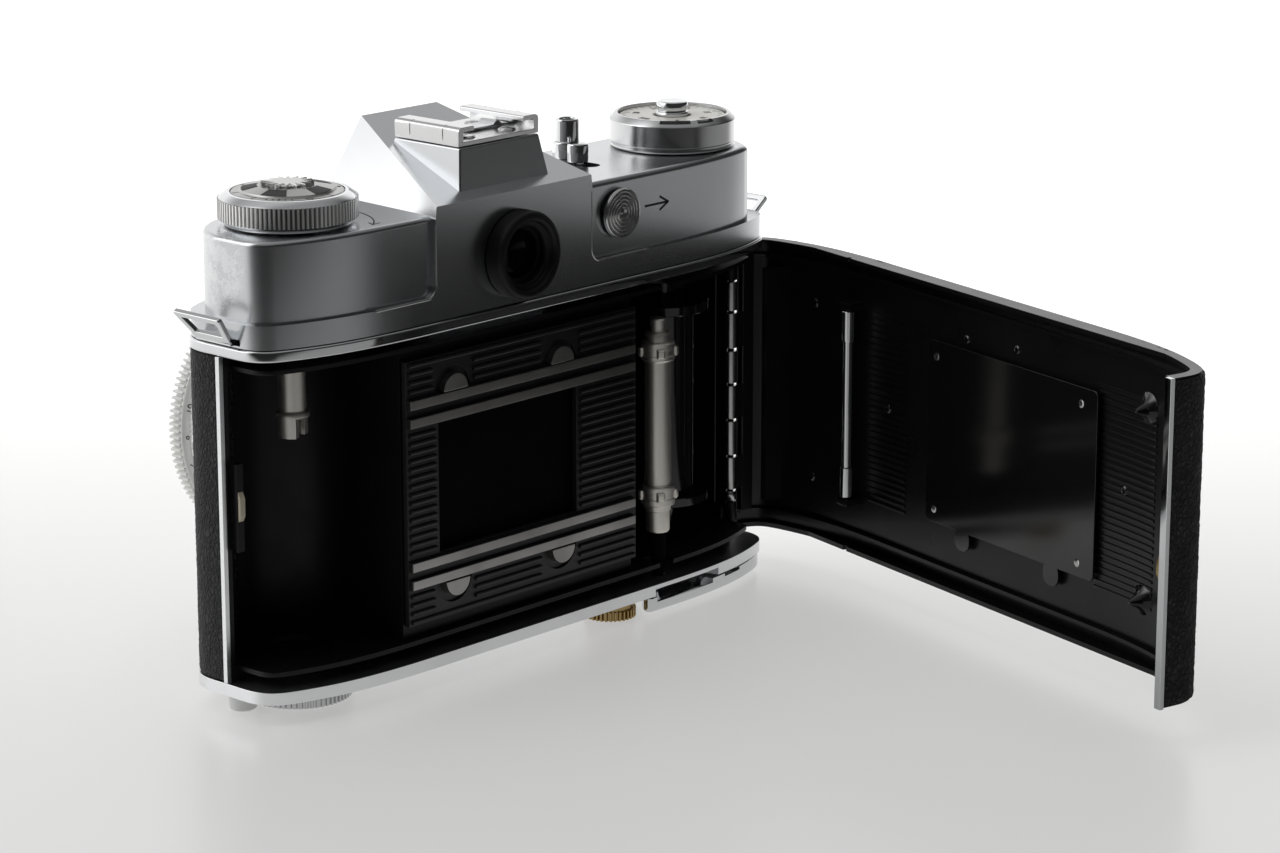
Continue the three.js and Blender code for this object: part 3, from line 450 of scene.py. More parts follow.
# ------------------------------------------------------------------ putting a piece in the scene
def emit(name, me, mat, body, replaces=(), door=False, sharp=38, weighted=True):
    me = me.copy()
    if door:
        me.transform(SWING)
    me.transform(LIFT)
    bm = bmesh.new()
    bm.from_mesh(me)
    bmesh.ops.remove_doubles(bm, verts=bm.verts, dist=2e-7)
    bm.to_mesh(me)
    bm.free()
    me.materials.clear()
    me.materials.append(mat)
    for p in me.polygons:
        p.material_index = 0
        p.use_smooth = True
    me.set_sharp_from_angle(angle=math.radians(sharp))
    me.name = name
    o = bpy.data.objects.new(name, me)
    scene.collection.objects.link(o)
    if weighted:
        w = o.modifiers.new("weighted_normals", 'WEIGHTED_NORMAL')
        w.keep_sharp = True
    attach(o, body)
    if replaces:
        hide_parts(*replaces)
    return o

def keep(node, mat):
    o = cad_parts[node]
    o.data.materials.clear()
    o.data.materials.append(mat)

CAM = "camera_body"

# ================================================================== body casting and chambers
c = prism(outline(0.95), BOTTOM + 0.3, TOP - 0.3)
c = cut(c, cut(box(-90, 70, -13.6, 10, -40, 40), prism(outline(2.6), -27.9, 27.4)))
c = cut(c, box(-90, -72.0, -16.2, 10, -40, 40))
c = cut(c, prism(rounded(26.2, 56.6, -28.6, 20, 13, 14), -27.0, 26.6), prism(rounded(-74.4, -34.6, -28.9, 20, 8), -27.0, 26.6))
c = cut(c, box(-34.8, 26.4, -2.4, 10, -27.0, 26.6), box(-20.5, 20.5, -50, 0, -16.5, 19.5), box(-20.5, 20.5, -50, -5, -19, 35))
c = cut(c, rod(*REWIND, 4.6, 20, 40), rod(*REWIND, 6.4, -28.4, -20))
for p in (SPROCKET, SPOOL):
    c = cut(c, rod(*p, 3.0, -31, -20), rod(*p, 3.0, 20, 31))
c = cut(c, box(54.5, 60, -13.4, -11.9, -8, 12))
c = bevel(c, 0.16, 2, 30)
emit("body_casting_shell", c, BLACK, CAM, ["body_casting"])

# gate plate: frame round the aperture, ribbed flanks, counterbored studs
g = box(-34.4, 26.0, -2.1, -1.0, -24.5, 24.5)
g = cut(g, box(-18, 18, -5, 5, -12, 12))
for s in (1, -1):
    for x in (14.4, -13.4):
        g = cut(g, both(rod_y(x, s * 17.6, 4.4, -1.55, 2, 40), box(x - 6, x + 6, -4, 4, 17.6 if s > 0 else -23, 23 if s > 0 else -17.6)))
g = bevel(g, 0.12, 2)
emit("film_gate_frame", g, GATE, CAM, ["film_gate_plate"])
ribs = []
def rib(x0, x1, z, h=-0.5, w=0.42):
    ribs.append(prism_x([(-1.3, z - w), (h - 0.12, z - w * 0.75), (h, z - w * 0.35), (h, z + w * 0.35), (h - 0.12, z + w * 0.75), (-1.3, z + w)], x0, x1))
for i in range(-7, 8):
    rib(-33.8, -18.9, i * 1.55)
    rib(18.9, 25.4, i * 1.55)
for s in (1, -1):
    for z in (18.9, 20.5, 22.1, 23.7):
        for x0, x1 in ((-33.8, -18.6), (-8.2, 9.2), (19.6, 25.4)):
            rib(x0, x1, s * z)
        if z > 22.5:
            for x0, x1 in ((-18.6, -8.2), (9.2, 19.6)):
                rib(x0, x1, s * z)
emit("gate_ribs", heap(*ribs), GATE, CAM, ())
rails = []
for s in (1, -1):
    for a, b in ((12.45, 14.1), (15.8, 17.45)):
        z0, z1 = sorted((s * a, s * b))
        rails.append(bevel(box(-33.3, 25.7, -1.2, 0.0, z0, z1), 0.08, 2))
emit("film_rails", heap(*rails), RAIL, CAM, ())
sides = []
for s in (1, -1):
    for a, b in ((12.35, 14.2), (15.7, 17.55)):
        z0, z1 = sorted((s * a, s * b))
        sides.append(box(-33.45, 25.85, -1.4, -0.25, z0, z1))
emit("rail_flanks", heap(*[bevel(m, 0.06, 2) for m in sides]), GATE, CAM, ())
studs = []
for s in (1, -1):
    for x in (14.4, -13.4):
        m = both(rod_y(x, s * 17.7, 3.0, -1.5, 0.08, 48), box(x - 4, x + 4, -4, 4, 17.7 if s > 0 else -22, 22 if s > 0 else -17.7))
        studs.append(bevel(m, 0.12, 2))
emit("film_guide_studs", heap(*studs), RAIL, CAM, ())
# lining of the light tunnel
t = cut(box(-20.3, 20.3, -34, -2.3, -16.3, 19.3), box(-19.9, 19.9, -60, 10, -16.0, 19.0))
emit("light_tunnel_lining", t, DEEP, CAM, ())

# ================================================================== trim band, base, foot
band = cut(prism(outline(0), TOP, 31.4), prism(outline(2.4), 20, 40))
band = bevel(band, 0.42, 4, 30)
emit("trim_band_ring", band, BRIGHT, CAM, ["trim_band"])
seat = cut(prism(outline(0.9), 31.3, 31.7), prism(outline(2.4), 20, 40))
emit("cover_seat", seat, INK, CAM, ())

b = prism(outline(0), -32.2, BOTTOM)
b = join(b, prism(rounded(-27, 27, -43, -24, 5), -32.2, BOTTOM))
b = bevel(b, 0.3, 3, 30)
b = join(b, lathe([(0, -36), (3.9, -36), (4.6, -35.7), (5.0, -35.0), (5.0, -31), (0, -31)], 0, -36, 64))
recess = [(-36.4, 8), (-36.6, 1.6), (-37.6, 0.6), (-38.9, -0.3), (-40.6, -0.75), (-52.6, -1.9), (-54.2, -1.6), (-55.0, -0.6), (-55.6, 2), (-55.8, 8)]
b = cut(b, prism(recess, -34, -30.75))
b = cut(b, rod(*LEVER, 3.4, -40, -20), rod(*REWIND, 8.0, -40, -20), rod(-31, -4.6, 2.4, -40, -20), rod(53.3, -15.5, 1.6, -40, -20), rod(*SPROCKET, 1.5, -40, -20))
emit("base_plate_shell", b, BASE, CAM, ["base_plate"])
# base screws
def screw(x, y, z, r, axis='-z'):
    m = lathe([(0, 0), (r * 0.98, 0), (r, 0.12), (r * 0.82, 0.42), (0, 0.55)], 0, 0, 32)
    m = cut(m, box(-r * 1.2, r * 1.2, -0.14, 0.14, 0.22, 2))
    turn = {'-z': Matrix.Rotation(math.pi, 4, 'X'), 'z': Matrix.Identity(4), 'y': Matrix.Rotation(-math.pi / 2, 4, 'X')}[axis]
    return moved(m, Matrix.Translation((x, y, z)) @ turn @ Matrix.Rotation(0.7 + x, 4, 'Z'))
emit("base_screws", heap(*[screw(x, y, -32.15, 1.5) for x, y in ((26, -26.5), (-24, -26.5), (20, -6), (-20, -6), (-68, -20))]), STEEL, CAM, ())
foot = lathe([(0, -36.0), (2.1, -36.0), (2.4, -35.8), (2.5, -35.5), (2.5, -32.22), (1.45, -32.22), (1.45, -30.2), (0, -30.2)], 53.3, -15.5, 64)
emit("rest_foot_post", foot, RUBBERED, CAM, ["rest_foot"])

# ================================================================== top cover
def T(x, y):
    return (x, y)
BACK = 1.8
def roof_z(y):
    return 52.1 + (BACK - y) * (63.4 - 52.1) / (BACK + 27.6)
def hood_ring(f):
    """f 0 at the deck line, 1 at the roof; the side faces are ruled between the two"""
    yb, yf = BACK, -28.6 + f * 1.0
    xb0, xf0 = 20.2, 18.4
    pts = []
    steps = 10
    for i in range(steps + 1):
        t = i / steps
        y = yb + (yf - yb) * t
        x = (20.2 + (18.4 - 20.2) * t) * (1 - f) + (19.9 + (9.6 - 19.9) * t) * f
        z = 49.6 * (1 - f) + roof_z(y) * f
        pts.append((FINDER + x, y, z))
    left = [(2 * FINDER - x, y, z) for x, y, z in pts[::-1]]
    return pts + left
low = [(x, y, 34.9) for x, y, z in hood_ring(0)]
hood = loft([low] + [hood_ring(i / 8) for i in range(9)])
flange = prism(outline(0.4), 31.55, FLANGE)
tee = join(flange, hood)
fillets = []
for s in (1, -1):
    x0 = FINDER + s * 20.0
    r = 1.9
    pts = [(x0 - s * 0.6, FLANGE - 0.4), (x0 + s * (0.2 + r), FLANGE - 0.4)]
    for i in range(9):
        a = math.radians(270 - 90 * i / 8)
        pts.append((x0 + s * (0.2 + r + r * math.cos(a)), FLANGE + r + r * math.sin(a)))
    pts.append((x0 - s * 0.6, FLANGE + r))
    fillets.append(prism_y(pts if s > 0 else pts[::-1], -4.0, BACK))
tee = join(tee, *fillets)
tee = bevel(tee, 0.5, 3, 22, where=lambda p: p.z > 33.0)
def shoulder(sign):
    clip = rounded(5, 57.2, -27.0, 26, 14, 18) if sign > 0 else rounded(-73.6, -5, -28.2, 1.25, 9.0, 14)
    m = both(prism(outline(1.45), FLANGE - 1, DECK), prism(clip, 20, 60))
    return m
def soft(ring, z0, z1, r):
    """a prism whose upper edge is rolled over with radius r; ring(inset) gives its outline"""
    rings = [[(x, y, z0) for x, y in ring(0)]]
    for i in range(6):
        a = math.radians(18 * i)
        rings.append([(x, y, z1 - r + r * math.sin(a)) for x, y in ring(r * (1 - math.cos(a)))])
    return loft(rings)
right = shoulder(1)
right = bevel(right, 0.9, 4, 22, where=lambda p: p.z > 36)
left = both(soft(lambda i: outline(1.45 + i), FLANGE - 1, DECK, 1.1), soft(lambda i: rounded(-71.9 + i, -5, -28.2 + i, 1.25 - i, 13.0 - i, 18), 20, DECK, 1.1))
wedge = loft([[(FINDER - 11.9, -0.45, 50.6), (FINDER + 11.9, -0.45, 50.6), (FINDER + 10.3, -24, 50.6), (FINDER - 10.3, -24, 50.6)],
              [(FINDER - 10.15, -2.05, 60.6), (FINDER + 10.15, -2.05, 60.6), (FINDER + 10.15, -18.6, 60.6), (FINDER - 10.15, -18.6, 60.6)]])
wedge = bevel(wedge, 0.35, 3, 20)
cover = join(tee, right, left, wedge)
hollow = prism(outline(1.5), 20, FLANGE - 1.1)
cover = cut(cover, hollow)
inner = both(prism(outline(2.55), 30, DECK - 1.1), join(prism(rounded(-70.7, 8, -27.0, 0.1, 12, 10), 20, 60), prism(rounded(-4, 55.8, -25.5, 0.4, 12.4, 12), 20, 60)))
cover = cut(cover, inner)
cover = cut(cover, prism_y([(FINDER - 18.6, 33), (FINDER + 18.6, 33), (FINDER + 18.6, 49), (FINDER - 18.6, 49)], -27.3, 0.4))
cover = cut(cover, box(-24, 25, -40, -26, 20, 45.5), box(FINDER - 8, FINDER + 8, -40, -24, 48.5, 57.5))
cover = cut(cover, rod_y(FINDER, 40.7, 6.6, -8, 10), rod(*REWIND, 4.6, 40, 60), rod(*COUNTER, 3.4, 40, 60), rod(-36, -20, 1.6, 40, 60))
cover = cut(cover, prism(rounded(-35.0, -30.9, -16.4, -9.4, 2.0), 40, 60))
cover = cut(cover, prism_y(rounded(-31.6, -23.4, 42.4, 45.0, 1.2), -8, 8))
cover = cut(cover, box(52, 64, -19.4, -8.6, 31.9, 33.0), box(-82, -70, -19.4, -8.6, 31.9, 33.0))
emit("top_cover_shell", cover, SATIN, CAM, ["top_cover"], sharp=32)
# the rolled edge where the hood stands proud of the two recessed shoulders
def bead(path, y, r):
    rings = []
    for i, (x, z) in enumerate(path):
        a, b = path[max(i - 1, 0)], path[min(i + 1, len(path) - 1)]
        d = Vector((b[0] - a[0], 0, b[1] - a[1])).normalized()
        u = Vector((0, 1, 0))
        v = d.cross(u)
        rings.append([tuple(Vector((x, y, z)) + u * (r * math.cos(k * math.pi / 5)) + v * (r * math.sin(k * math.pi / 5))) for k in range(10)])
    return loft(rings)
beads = []
for s in (1, -1):
    x0 = FINDER + s * 20.1
    r = 2.2
    path = [(x0, 48.9), (x0, 44), (x0, FLANGE + r)]
    path += [(x0 + s * (r - r * math.cos(math.radians(a))), FLANGE + r - r * math.sin(math.radians(a))) for a in (15, 30, 45, 60, 75, 90)]
    path += [(x0 + s * 8, FLANGE), (x0 + s * 15, FLANGE)]
    beads.append(bead(path, BACK - 0.16, 0.26))
emit("cover_rolled_edges", heap(*beads), SHOE, CAM, (), sharp=60)

# plate that closes the front of the hood above the mirror box
emit("hood_front_plate", bevel(box(-23.9, 24.9, -28.5, -27.7, 31.7, 45.4), 0.3, 3), SATIN, CAM, ())

# accessory shoe: floor and two channel rails with wrapped springs
f0 = FINDER
def shoe_profile(s):
    return [(f0 + s * 6.3, 63.35), (f0 + s * 8.7, 63.35), (f0 + s * 9.0, 63.0), (f0 + s * 9.0, 61.55), (f0 + s * 10.2, 61.2), (f0 + s * 10.25, 63.4),
            (f0 + s * 10.1, 63.85), (f0 + s * 9.7, 64.15), (f0 + s * 9.1, 64.22), (f0 + s * 6.5, 64.22), (f0 + s * 6.3, 64.0)]
floor_ = bevel(box(f0 - 10.2, f0 + 10.2, -18.4, -2.2, 60.75, 61.6), 0.12, 2)
shoe = [floor_]
for s in (1, -1):
    pts = shoe_profile(s)
    rail = prism_y(pts if s > 0 else pts[::-1], -18.4, -2.2)
    for y in (-14.5, -6.2):
        rail = cut(rail, box(f0 + s * 9.4 - 2.2, f0 + s * 9.4 + 2.2, y - 0.07, y + 0.07, 61.5, 66) if False else
                   cut(box(f0 + (8.9 if s > 0 else -11), f0 + (11 if s > 0 else -8.9), y - 0.07, y + 0.07, 61.4, 66),
                       box(f0 - 10.12, f0 + 10.12, y - 1, y + 1, 61, 64.08)))
    shoe.append(bevel(rail, 0.10, 2, 40))
shoe = join(shoe[0], shoe[1], shoe[2])
emit("accessory_shoe_rails", shoe, SHOE, CAM, ["accessory_shoe"])
emit("shoe_screws", heap(*[screw(f0 + x, y, 61.55, 1.7, 'z') for x, y in ((5.2, -5.3), (-5.2, -5.3), (5.2, -13.8), (-5.2, -13.8))]), STEEL, CAM, ())
spring = prism_y([(f0 - 8.6, 61.8), (f0 + 8.6, 61.8), (f0 + 8.6, 62.1), (f0 + 7.0, 62.15), (f0 + 6.2, 62.8), (f0 + 5.6, 62.85), (f0 + 4.8, 62.15),
                  (f0 - 4.8, 62.15), (f0 - 5.6, 62.85), (f0 - 6.2, 62.8), (f0 - 7.0, 62.15), (f0 - 8.6, 62.1)], -12.2, -8.3)
emit("shoe_leaf_spring", bevel(spring, 0.06, 2), BASE, CAM, ["shoe_spring"])

# eyepiece
ep = lathe_y([(4.5, -0.6), (6.4, -0.6), (6.4, 2.0), (7.9, 2.0), (8.05, 2.3), (8.05, 4.9), (7.85, 5.4), (7.4, 5.75), (6.9, 5.8), (6.5, 5.6), (6.2, 5.1), (6.1, 4.5),
              (5.9, 4.3), (5.5, 4.3), (5.3, 4.1), (5.15, 3.4), (5.15, 2.8), (4.5, 2.7), (4.5, -0.6)], FINDER, 40.7, 96)
emit("eyepiece_rim", ep, MATT, CAM, ["eyepiece_ring"], sharp=50)
el = lathe_y([(0, -0.2), (4.3, 0.1), (4.3, 1.9), (3.4, 2.3), (2.2, 2.52), (1.1, 2.62), (0, 2.65)], FINDER, 40.7, 64)
emit("eyepiece_glass", el, EYEPIECE_GLASS_SHADE, CAM, ["eyepiece_lens"])
# a solid black disc behind the eyepiece glass: painted shade for the dark inside of the finder
emit("finder_shade_disc", lathe_y([(0, -1.3), (6.2, -1.3), (6.2, -0.8), (0, -0.8)], FINDER, 40.7, 48), DEEP, CAM, ())
mc = bevel(box(FINDER - 7.6, FINDER + 7.6, -28.6, -27.2, 48.9, 57.0), 0.3, 3)
emit("meter_window", mc, CELL, CAM, ["meter_cell_window"])

# strap lugs
def strap_lug(sign, cx):
    outer = [(0, -4.5), (1.0, -4.65), (5.9, -5.85), (6.35, -5.8), (6.6, -5.45), (6.6, 5.45), (6.35, 5.8), (5.9, 5.85), (1.0, 4.65), (0, 4.5)]
    hole = [(1.7, -3.5), (5.0, -4.45), (5.35, -4.2), (5.35, 4.2), (5.0, 4.45), (1.7, 3.5)]
    p = cut(prism(outer, -0.45, 0.5), prism(hole, -2, 2))
    p = bevel(p, 0.2, 3, 40)
    p = moved(p, Matrix.Rotation(math.radians(-51), 4, 'Y'))
    p = join(p, box(-2.2, 0.4, -4.4, 4.4, -0.45, 0.4))
    if sign < 0:
        p = moved(p, Matrix.Rotation(math.pi, 4, 'Z'))
    return moved(p, Matrix.Translation((cx, CY + 0.4, 32.45)))
emit("strap_lug_rewind_loop", strap_lug(1, 58.9), BRIGHT, CAM, ["strap_lug_rewind_end"])
emit("strap_lug_winding_loop", strap_lug(-1, -76.5), BRIGHT, CAM, ["strap_lug_winding_end"])

# ================================================================== grained coverings
def sheet(inset_out, inset_in, z0, z1, keep_box, pitch=0.42, amp=0.10, seed=0.0):
    """a skin that follows the outline, with real grain on its outer side"""
    outer = outline(inset_out, 6)
    n = len(outer)
    # resample evenly
    pts = []
    for i in range(n):
        a, b = Vector(outer[i]), Vector(outer[(i + 1) % n])
        k = max(1, int((b - a).length / pitch + 0.5))
        for s in range(k):
            pts.append(a + (b - a) * (s / k))
    x0, x1, y0, y1 = keep_box
    m = len(pts)
    inside = [x0 <= p.x <= x1 and y0 <= p.y <= y1 for p in pts]
    if all(inside):
        run = list(range(m))
    else:
        start = next(i for i in range(m) if inside[i] and not inside[i - 1])
        run = []
        i = start
        while inside[i % m]:
            run.append(i % m)
            i += 1
    rows = int((z1 - z0) / pitch)
    thick = inset_in - inset_out
    bm = bmesh.new()
    grid, back = [], []
    last = len(run) - 1
    for c, i in enumerate(run):
        p = pts[i]
        d = (pts[(i + 1) % m] - pts[i - 1]).normalized()
        nr = Vector((d.y, -d.x))
        col = []
        for r in range(rows + 1):
            z = z0 + (z1 - z0) * r / rows
            q = Vector((p.x, p.y, z))
            v = noise.voronoi(q * 0.95 + Vector((seed, seed * 2, 0)) + noise.noise_vector(q * 0.8) * 0.45)[0]
            h = min(1.0, (v[1] - v[0]) * 2.2)
            h = h * 0.75 + 0.25 * noise.noise(q * 2.6 + Vector((seed, 0, 0))) + 0.3 * noise.noise(q * 0.35)
            edge = min(1.0, min(r, rows - r) * pitch / 0.8, min(c, last - c) * pitch / 0.8)
            off = amp * (h - 0.9) * (0.35 + 0.65 * edge) - 0.16 * (1 - edge) ** 2
            col.append(bm.verts.new((p.x + nr.x * off, p.y + nr.y * off, z)))
        grid.append(col)
        back.append((bm.verts.new((p.x - nr.x * thick, p.y - nr.y * thick, z0)), bm.verts.new((p.x - nr.x * thick, p.y - nr.y * thick, z1))))
    for c in range(last):
        for r in range(rows):
            bm.faces.new((grid[c][r], grid[c + 1][r], grid[c + 1][r + 1], grid[c][r + 1]))
        bm.faces.new((back[c][0], back[c][1], back[c + 1][1], back[c + 1][0]))
        bm.faces.new((grid[c][0], back[c][0], back[c + 1][0], grid[c + 1][0]))
        bm.faces.new((grid[c][rows], grid[c + 1][rows], back[c + 1][1], back[c][1]))
    for c, flip in ((0, False), (last, True)):
        f = [back[c][0]] + [v for v in grid[c]] + [back[c][1]]
        bm.faces.new(f if not flip else f[::-1])
    return finish_mesh(bm, 1e-7)

ZC0, ZC1 = BOTTOM + 0.25, TOP - 0.25
emit("covering_rewind_skin", sheet(0.1, 0.8, ZC0, ZC1, (27.0, 70, -40, -14.65), seed=3.1), HIDE, CAM, ["covering_rewind_end"], sharp=70, weighted=False)
emit("covering_winding_skin", sheet(0.1, 0.8, ZC0, ZC1, (-90, -27.0, -40, -16.4), seed=7.7), HIDE, CAM, ["covering_winding_end"], sharp=70, weighted=False)
e = both(cut(prism(outline(-0.12), BOTTOM + 0.1, TOP - 0.1), prism(outline(0.85), -40, 40)), box(50, 70, -14.6, -13.62, -40, 40))
emit("end_edge_trim", bevel(e, 0.08, 2), BASE, CAM, ["end_edge_strip"])

# ================================================================== mirror housing, shutter, lens
h = bevel(prism_y(rounded(-26, 26, -29.3, 29.0, 6), -43, -31.35), 0.8, 4, 30, where=lambda p: p.y < -40)
h = cut(h, prism_y(rounded(-21.5, 21.5, -19.5, 21.5, 2), -41.6, -20), rod_y(0, 0, 14.3, -60, -20, 72), box(-19.2, 19.2, -35, -20, -19, 30))
emit("mirror_box", h, SATIN_FINE, CAM, ["mirror_housing"])
emit("shutter_ring", lathe_y([(14.3, -43.2), (28.7, -43.2), (29.0, -43.5), (29.0, -49.1), (28.6, -49.7), (28.0, -50.0), (14.3, -50.0), (14.3, -43.2)], 0, 0, 128), SATIN_FINE, CAM, ["shutter_housing"])
emit("lens_tube", lathe_y([(12.4, -42.0), (13.6, -42.0), (13.6, -50.2), (21.4, -50.2), (21.4, -67.3), (21.2, -67.6), (20.5, -67.9), (20.3, -68.2), (20.3, -68.9), (20.1, -69.2), (19.5, -69.2), (19.2, -69.0), (18.8, -68.3), (18.4, -68.2), (18.2, -67.7), (16.8, -67.5), (16.6, -67.0), (15.2, -66.8), (15.0, -66.5), (12.4, -66.4), (12.4, -42.0)], 0, 0, 128), BLACK, CAM, ["lens_barrel"], sharp=30)
emit("front_glass", lathe_y([(0, -68.6), (3, -68.45), (6, -68.0), (9, -67.3), (12.2, -66.0), (12.2, -62.6), (8, -62.1), (0, -61.8)], 0, 0, 96), GLASS, CAM, ["lens_front_element"], sharp=50)
emit("iris_plate", lathe_y([(0, -58.6), (13.2, -58.6), (13.2, -58.2), (0, -58.2)], 0, 0, 10), DEEP, CAM, ())

def toothed_ring(r_out, r_in, count, y0, y1, bore):
    m = prism_y(knurl(0, 0, r_out, r_in, count), y0, y1)
    return cut(m, rod_y(0, 0, bore, y0 - 1, y1 + 1, 128))
fr = bevel(toothed_ring(24.2, 23.1, 120, -67.1, -64.3, 21.75), 0.10, 1, 60)
emit("focusing_ring_teeth", fr, SCALE, "focusing", ["focusing_ring"], sharp=30)
fs = lathe_y([(21.75, -67.2), (23.0, -67.2), (23.1, -67.0), (23.1, -64.35), (23.75, -64.3), (23.8, -64.0), (23.6, -63.7), (23.3, -63.6), (22.2, -62.0), (22.0, -61.8), (21.75, -61.9), (21.75, -67.2)], 0, 0, 128)
emit("focusing_scale", fs, SCALE, "focusing", ())
emit("aperture_ring_body", lathe_y([(21.75, -61.5), (24.2, -61.3), (25.4, -58.9), (25.6, -58.4), (25.6, -56.4), (25.3, -56.2), (21.75, -56.2), (21.75, -61.5)], 0, 0, 128), SATIN_FINE, "aperture", ["aperture_ring"])
emit("aperture_ring_teeth", toothed_ring(26.3, 25.7, 60, -58.2, -56.4, 25.0), KNURL, "aperture", (), sharp=30)
emit("speed_ring_body", lathe_y([(21.75, -55.8), (26.8, -55.8), (27.3, -55.3), (27.6, -54.6), (27.6, -50.7), (27.3, -50.4), (21.75, -50.4), (21.75, -55.8)], 0, 0, 128), SATIN_FINE, "speed", ["speed_ring"])
emit("speed_ring_teeth", toothed_ring(28.3, 27.7, 64, -54.2, -51.2, 27.0), KNURL, "speed", (), sharp=30)
st = bevel(prism_y([(29.5, -3.2), (33.2, -2.6), (34.3, -1.9), (34.7, -0.9), (34.7, 0.9), (34.3, 1.9), (33.2, 2.6), (29.5, 3.2)], -48.6, -46.6), 0.35, 3)
st = moved(st, Matrix.Rotation(math.radians(55), 4, 'Y'))
emit("self_timer_tab", st, SATIN_FINE, "self_timer", ["self_timer_lever"])
emit("flash_socket_ring", lathe_y([(0, -43.2), (3.0, -43.2), (3.4, -43.5), (3.4, -46.7), (3.15, -47.0), (2.75, -47.0), (2.6, -46.8), (2.6, -45.0), (0.8, -45.0), (0.8, -46.4), (0.6, -46.6), (0, -46.65)], -22.4, -25.2, 48), BRIGHT, CAM, ["flash_socket"])

# ================================================================== rewind knob and dial
emit("rewind_sleeve_tube", lathe([(2.6, 26.0), (4.3, 26.0), (4.3, 50.5), (3.9, 50.9), (2.6, 50.9), (2.6, 26.0)], *REWIND, 48), STEEL, "rewind_lift", ["rewind_sleeve"])
kn = prism(knurl(*REWIND, 12.3, 11.55, 92, flat=0.42), 51.5, 55.05)
kn = cut(kn, rod(*REWIND, 10.9, 45, 60, 96))
emit("rewind_knob_grip", kn, KNURL, "rewind", ["rewind_knob"], sharp=25)
kb = lathe([(4.7, 51.2), (4.7, 50.45), (11.1, 50.45), (11.35, 50.6), (11.5, 50.95), (11.7, 51.2), (11.95, 51.45), (11.95, 55.0), (12.1, 55.1), (11.75, 55.45), (10.85, 56.0), (10.6, 56.05), (10.1, 56.05), (10.05, 55.35),
            (1.75, 55.3), (1.75, 51.2), (4.7, 51.2)], *REWIND, 128)
emit("rewind_knob_body", kb, BRIGHT, "rewind", (), sharp=30)
rs = lathe([(0, 55.1), (1.6, 55.1), (1.6, 25.6), (2.4, 25.4), (2.4, 16.75), (2.25, 16.6), (2.25, 16.45), (2.9, 16.4), (3.0, 16.25), (3.0, 15.65), (2.85, 15.5), (0, 15.5)], *REWIND, 72)
prongs = []
for k in (0, 1):
    q = both(rod(0, 0, 3.0, 12.0, 15.9, 64), box(1.05, 4, -1.75, 1.75, 0, 40))
    q = cut(q, rod(0, 0, 1.5, 0, 40, 32))
    q = bevel(q, 0.16, 3)
    prongs.append(moved(q, Matrix.Translation((REWIND[0], REWIND[1], 0)) @ Matrix.Rotation(math.radians(21) + math.pi * k, 4, 'Z')))
rs = join(rs, *prongs)
turn_to_view = Matrix.Identity(4)
emit("rewind_shaft_fork", moved(rs, turn_to_view), NICKEL, "rewind", ["rewind_shaft"])
dial = lathe([(0, 55.5), (9.9, 55.5), (9.9, 56.0), (9.75, 56.12), (8.5, 56.14), (8.35, 56.25), (8.2, 56.5), (5.2, 57.1), (4.9, 57.0), (4.6, 57.05), (0, 57.05)], *REWIND, 128)
emit("film_dial_disc", dial, DIAL, "film_dial", ["film_type_dial"], sharp=28)
def cone_sector(a0, a1, r0, z0, r1, z1, th=0.05):
    rings = []
    for i in range(13):
        a = math.radians(a0 + (a1 - a0) * i / 12)
        ca, sa = math.cos(a), math.sin(a)
        rings.append([(REWIND[0] + r * ca, REWIND[1] + r * sa, z) for r, z in ((r0, z0 - 0.05), (r0, z0 + th), (r1, z1 + th), (r1, z1 - 0.05))])
    return loft(rings)
emit("film_dial_sectors", heap(*[cone_sector(a, a + 34, 8.1, 56.53, 5.35, 57.07) for a in (12, 84, 156, 228, 300)]), INK, "film_dial", (), weighted=False)
star = []
for i in range(16):
    a0 = 2 * math.pi * i / 16
    r0, r1 = 4.7, 2.6
    star.append((REWIND[0] + r0 * math.cos(a0), REWIND[1] + r0 * math.sin(a0)))
    star.append((REWIND[0] + r1 * math.cos(a0 + math.pi / 16), REWIND[1] + r1 * math.sin(a0 + math.pi / 16)))
hub = bevel(prism(star, 57.0, 57.75), 0.08, 2, 20)
hub = join(hub, lathe([(0, 57.0), (3.6, 57.0), (3.6, 57.35), (3.2, 57.55), (0, 57.6)], *REWIND, 48))
emit("film_dial_hub", hub, KNURL, "film_dial", (), sharp=25)

# ------------------------------------------------------------------ inlaid marks
def stroke(pts, w, z):
    """a thin flat line of width w through pts, in the XY plane at height z, with some thickness"""
    out = []
    for a, b in zip(pts, pts[1:]):
        a, b = Vector(a), Vector(b)
        d = (b - a).normalized()
        s = Vector((-d.y, d.x)) * w / 2
        e = d * w * 0.25
        out.append(prism([tuple(a - s - e), tuple(b - s + e), tuple(b + s + e), tuple(a + s - e)], z, z + 0.03))
    return out
def polar(c, r, deg):
    a = math.radians(deg)
    return (c[0] + r * math.cos(a), c[1] + r * math.sin(a))
marks = []
for deg in (8, 100, 192, 284, 330):
    marks += stroke([polar(REWIND, 8.5, deg), polar(REWIND, 9.8, deg)], 0.14, 56.13)
# sun with rays, five short strokes and two dots: plain symbols of light
sc = polar(REWIND, 9.15, 72)
marks += [cut(rod(*sc, 0.52, 56.13, 56.16, 20), rod(*sc, 0.36, 50, 60, 20))]
for k in range(8):
    marks += stroke([polar(sc, 0.62, 45 * k), polar(sc, 0.86, 45 * k)], 0.1, 56.13)
for k, deg in enumerate((24, 31, 38, 45, 52)):
    p0, p1 = polar(REWIND, 8.7, deg), polar(REWIND, 9.55, deg)
    marks += stroke([p0, p1], 0.17 if k != 2 else 0.3, 56.13)
marks += [rod(*polar(REWIND, 9.15, 150), 0.38, 56.13, 56.16, 20), rod(*polar(REWIND, 9.15, 238), 0.38, 56.13, 56.16, 20)]
emit("film_dial_marks", heap(*marks), INK, "film_dial", (), weighted=False)

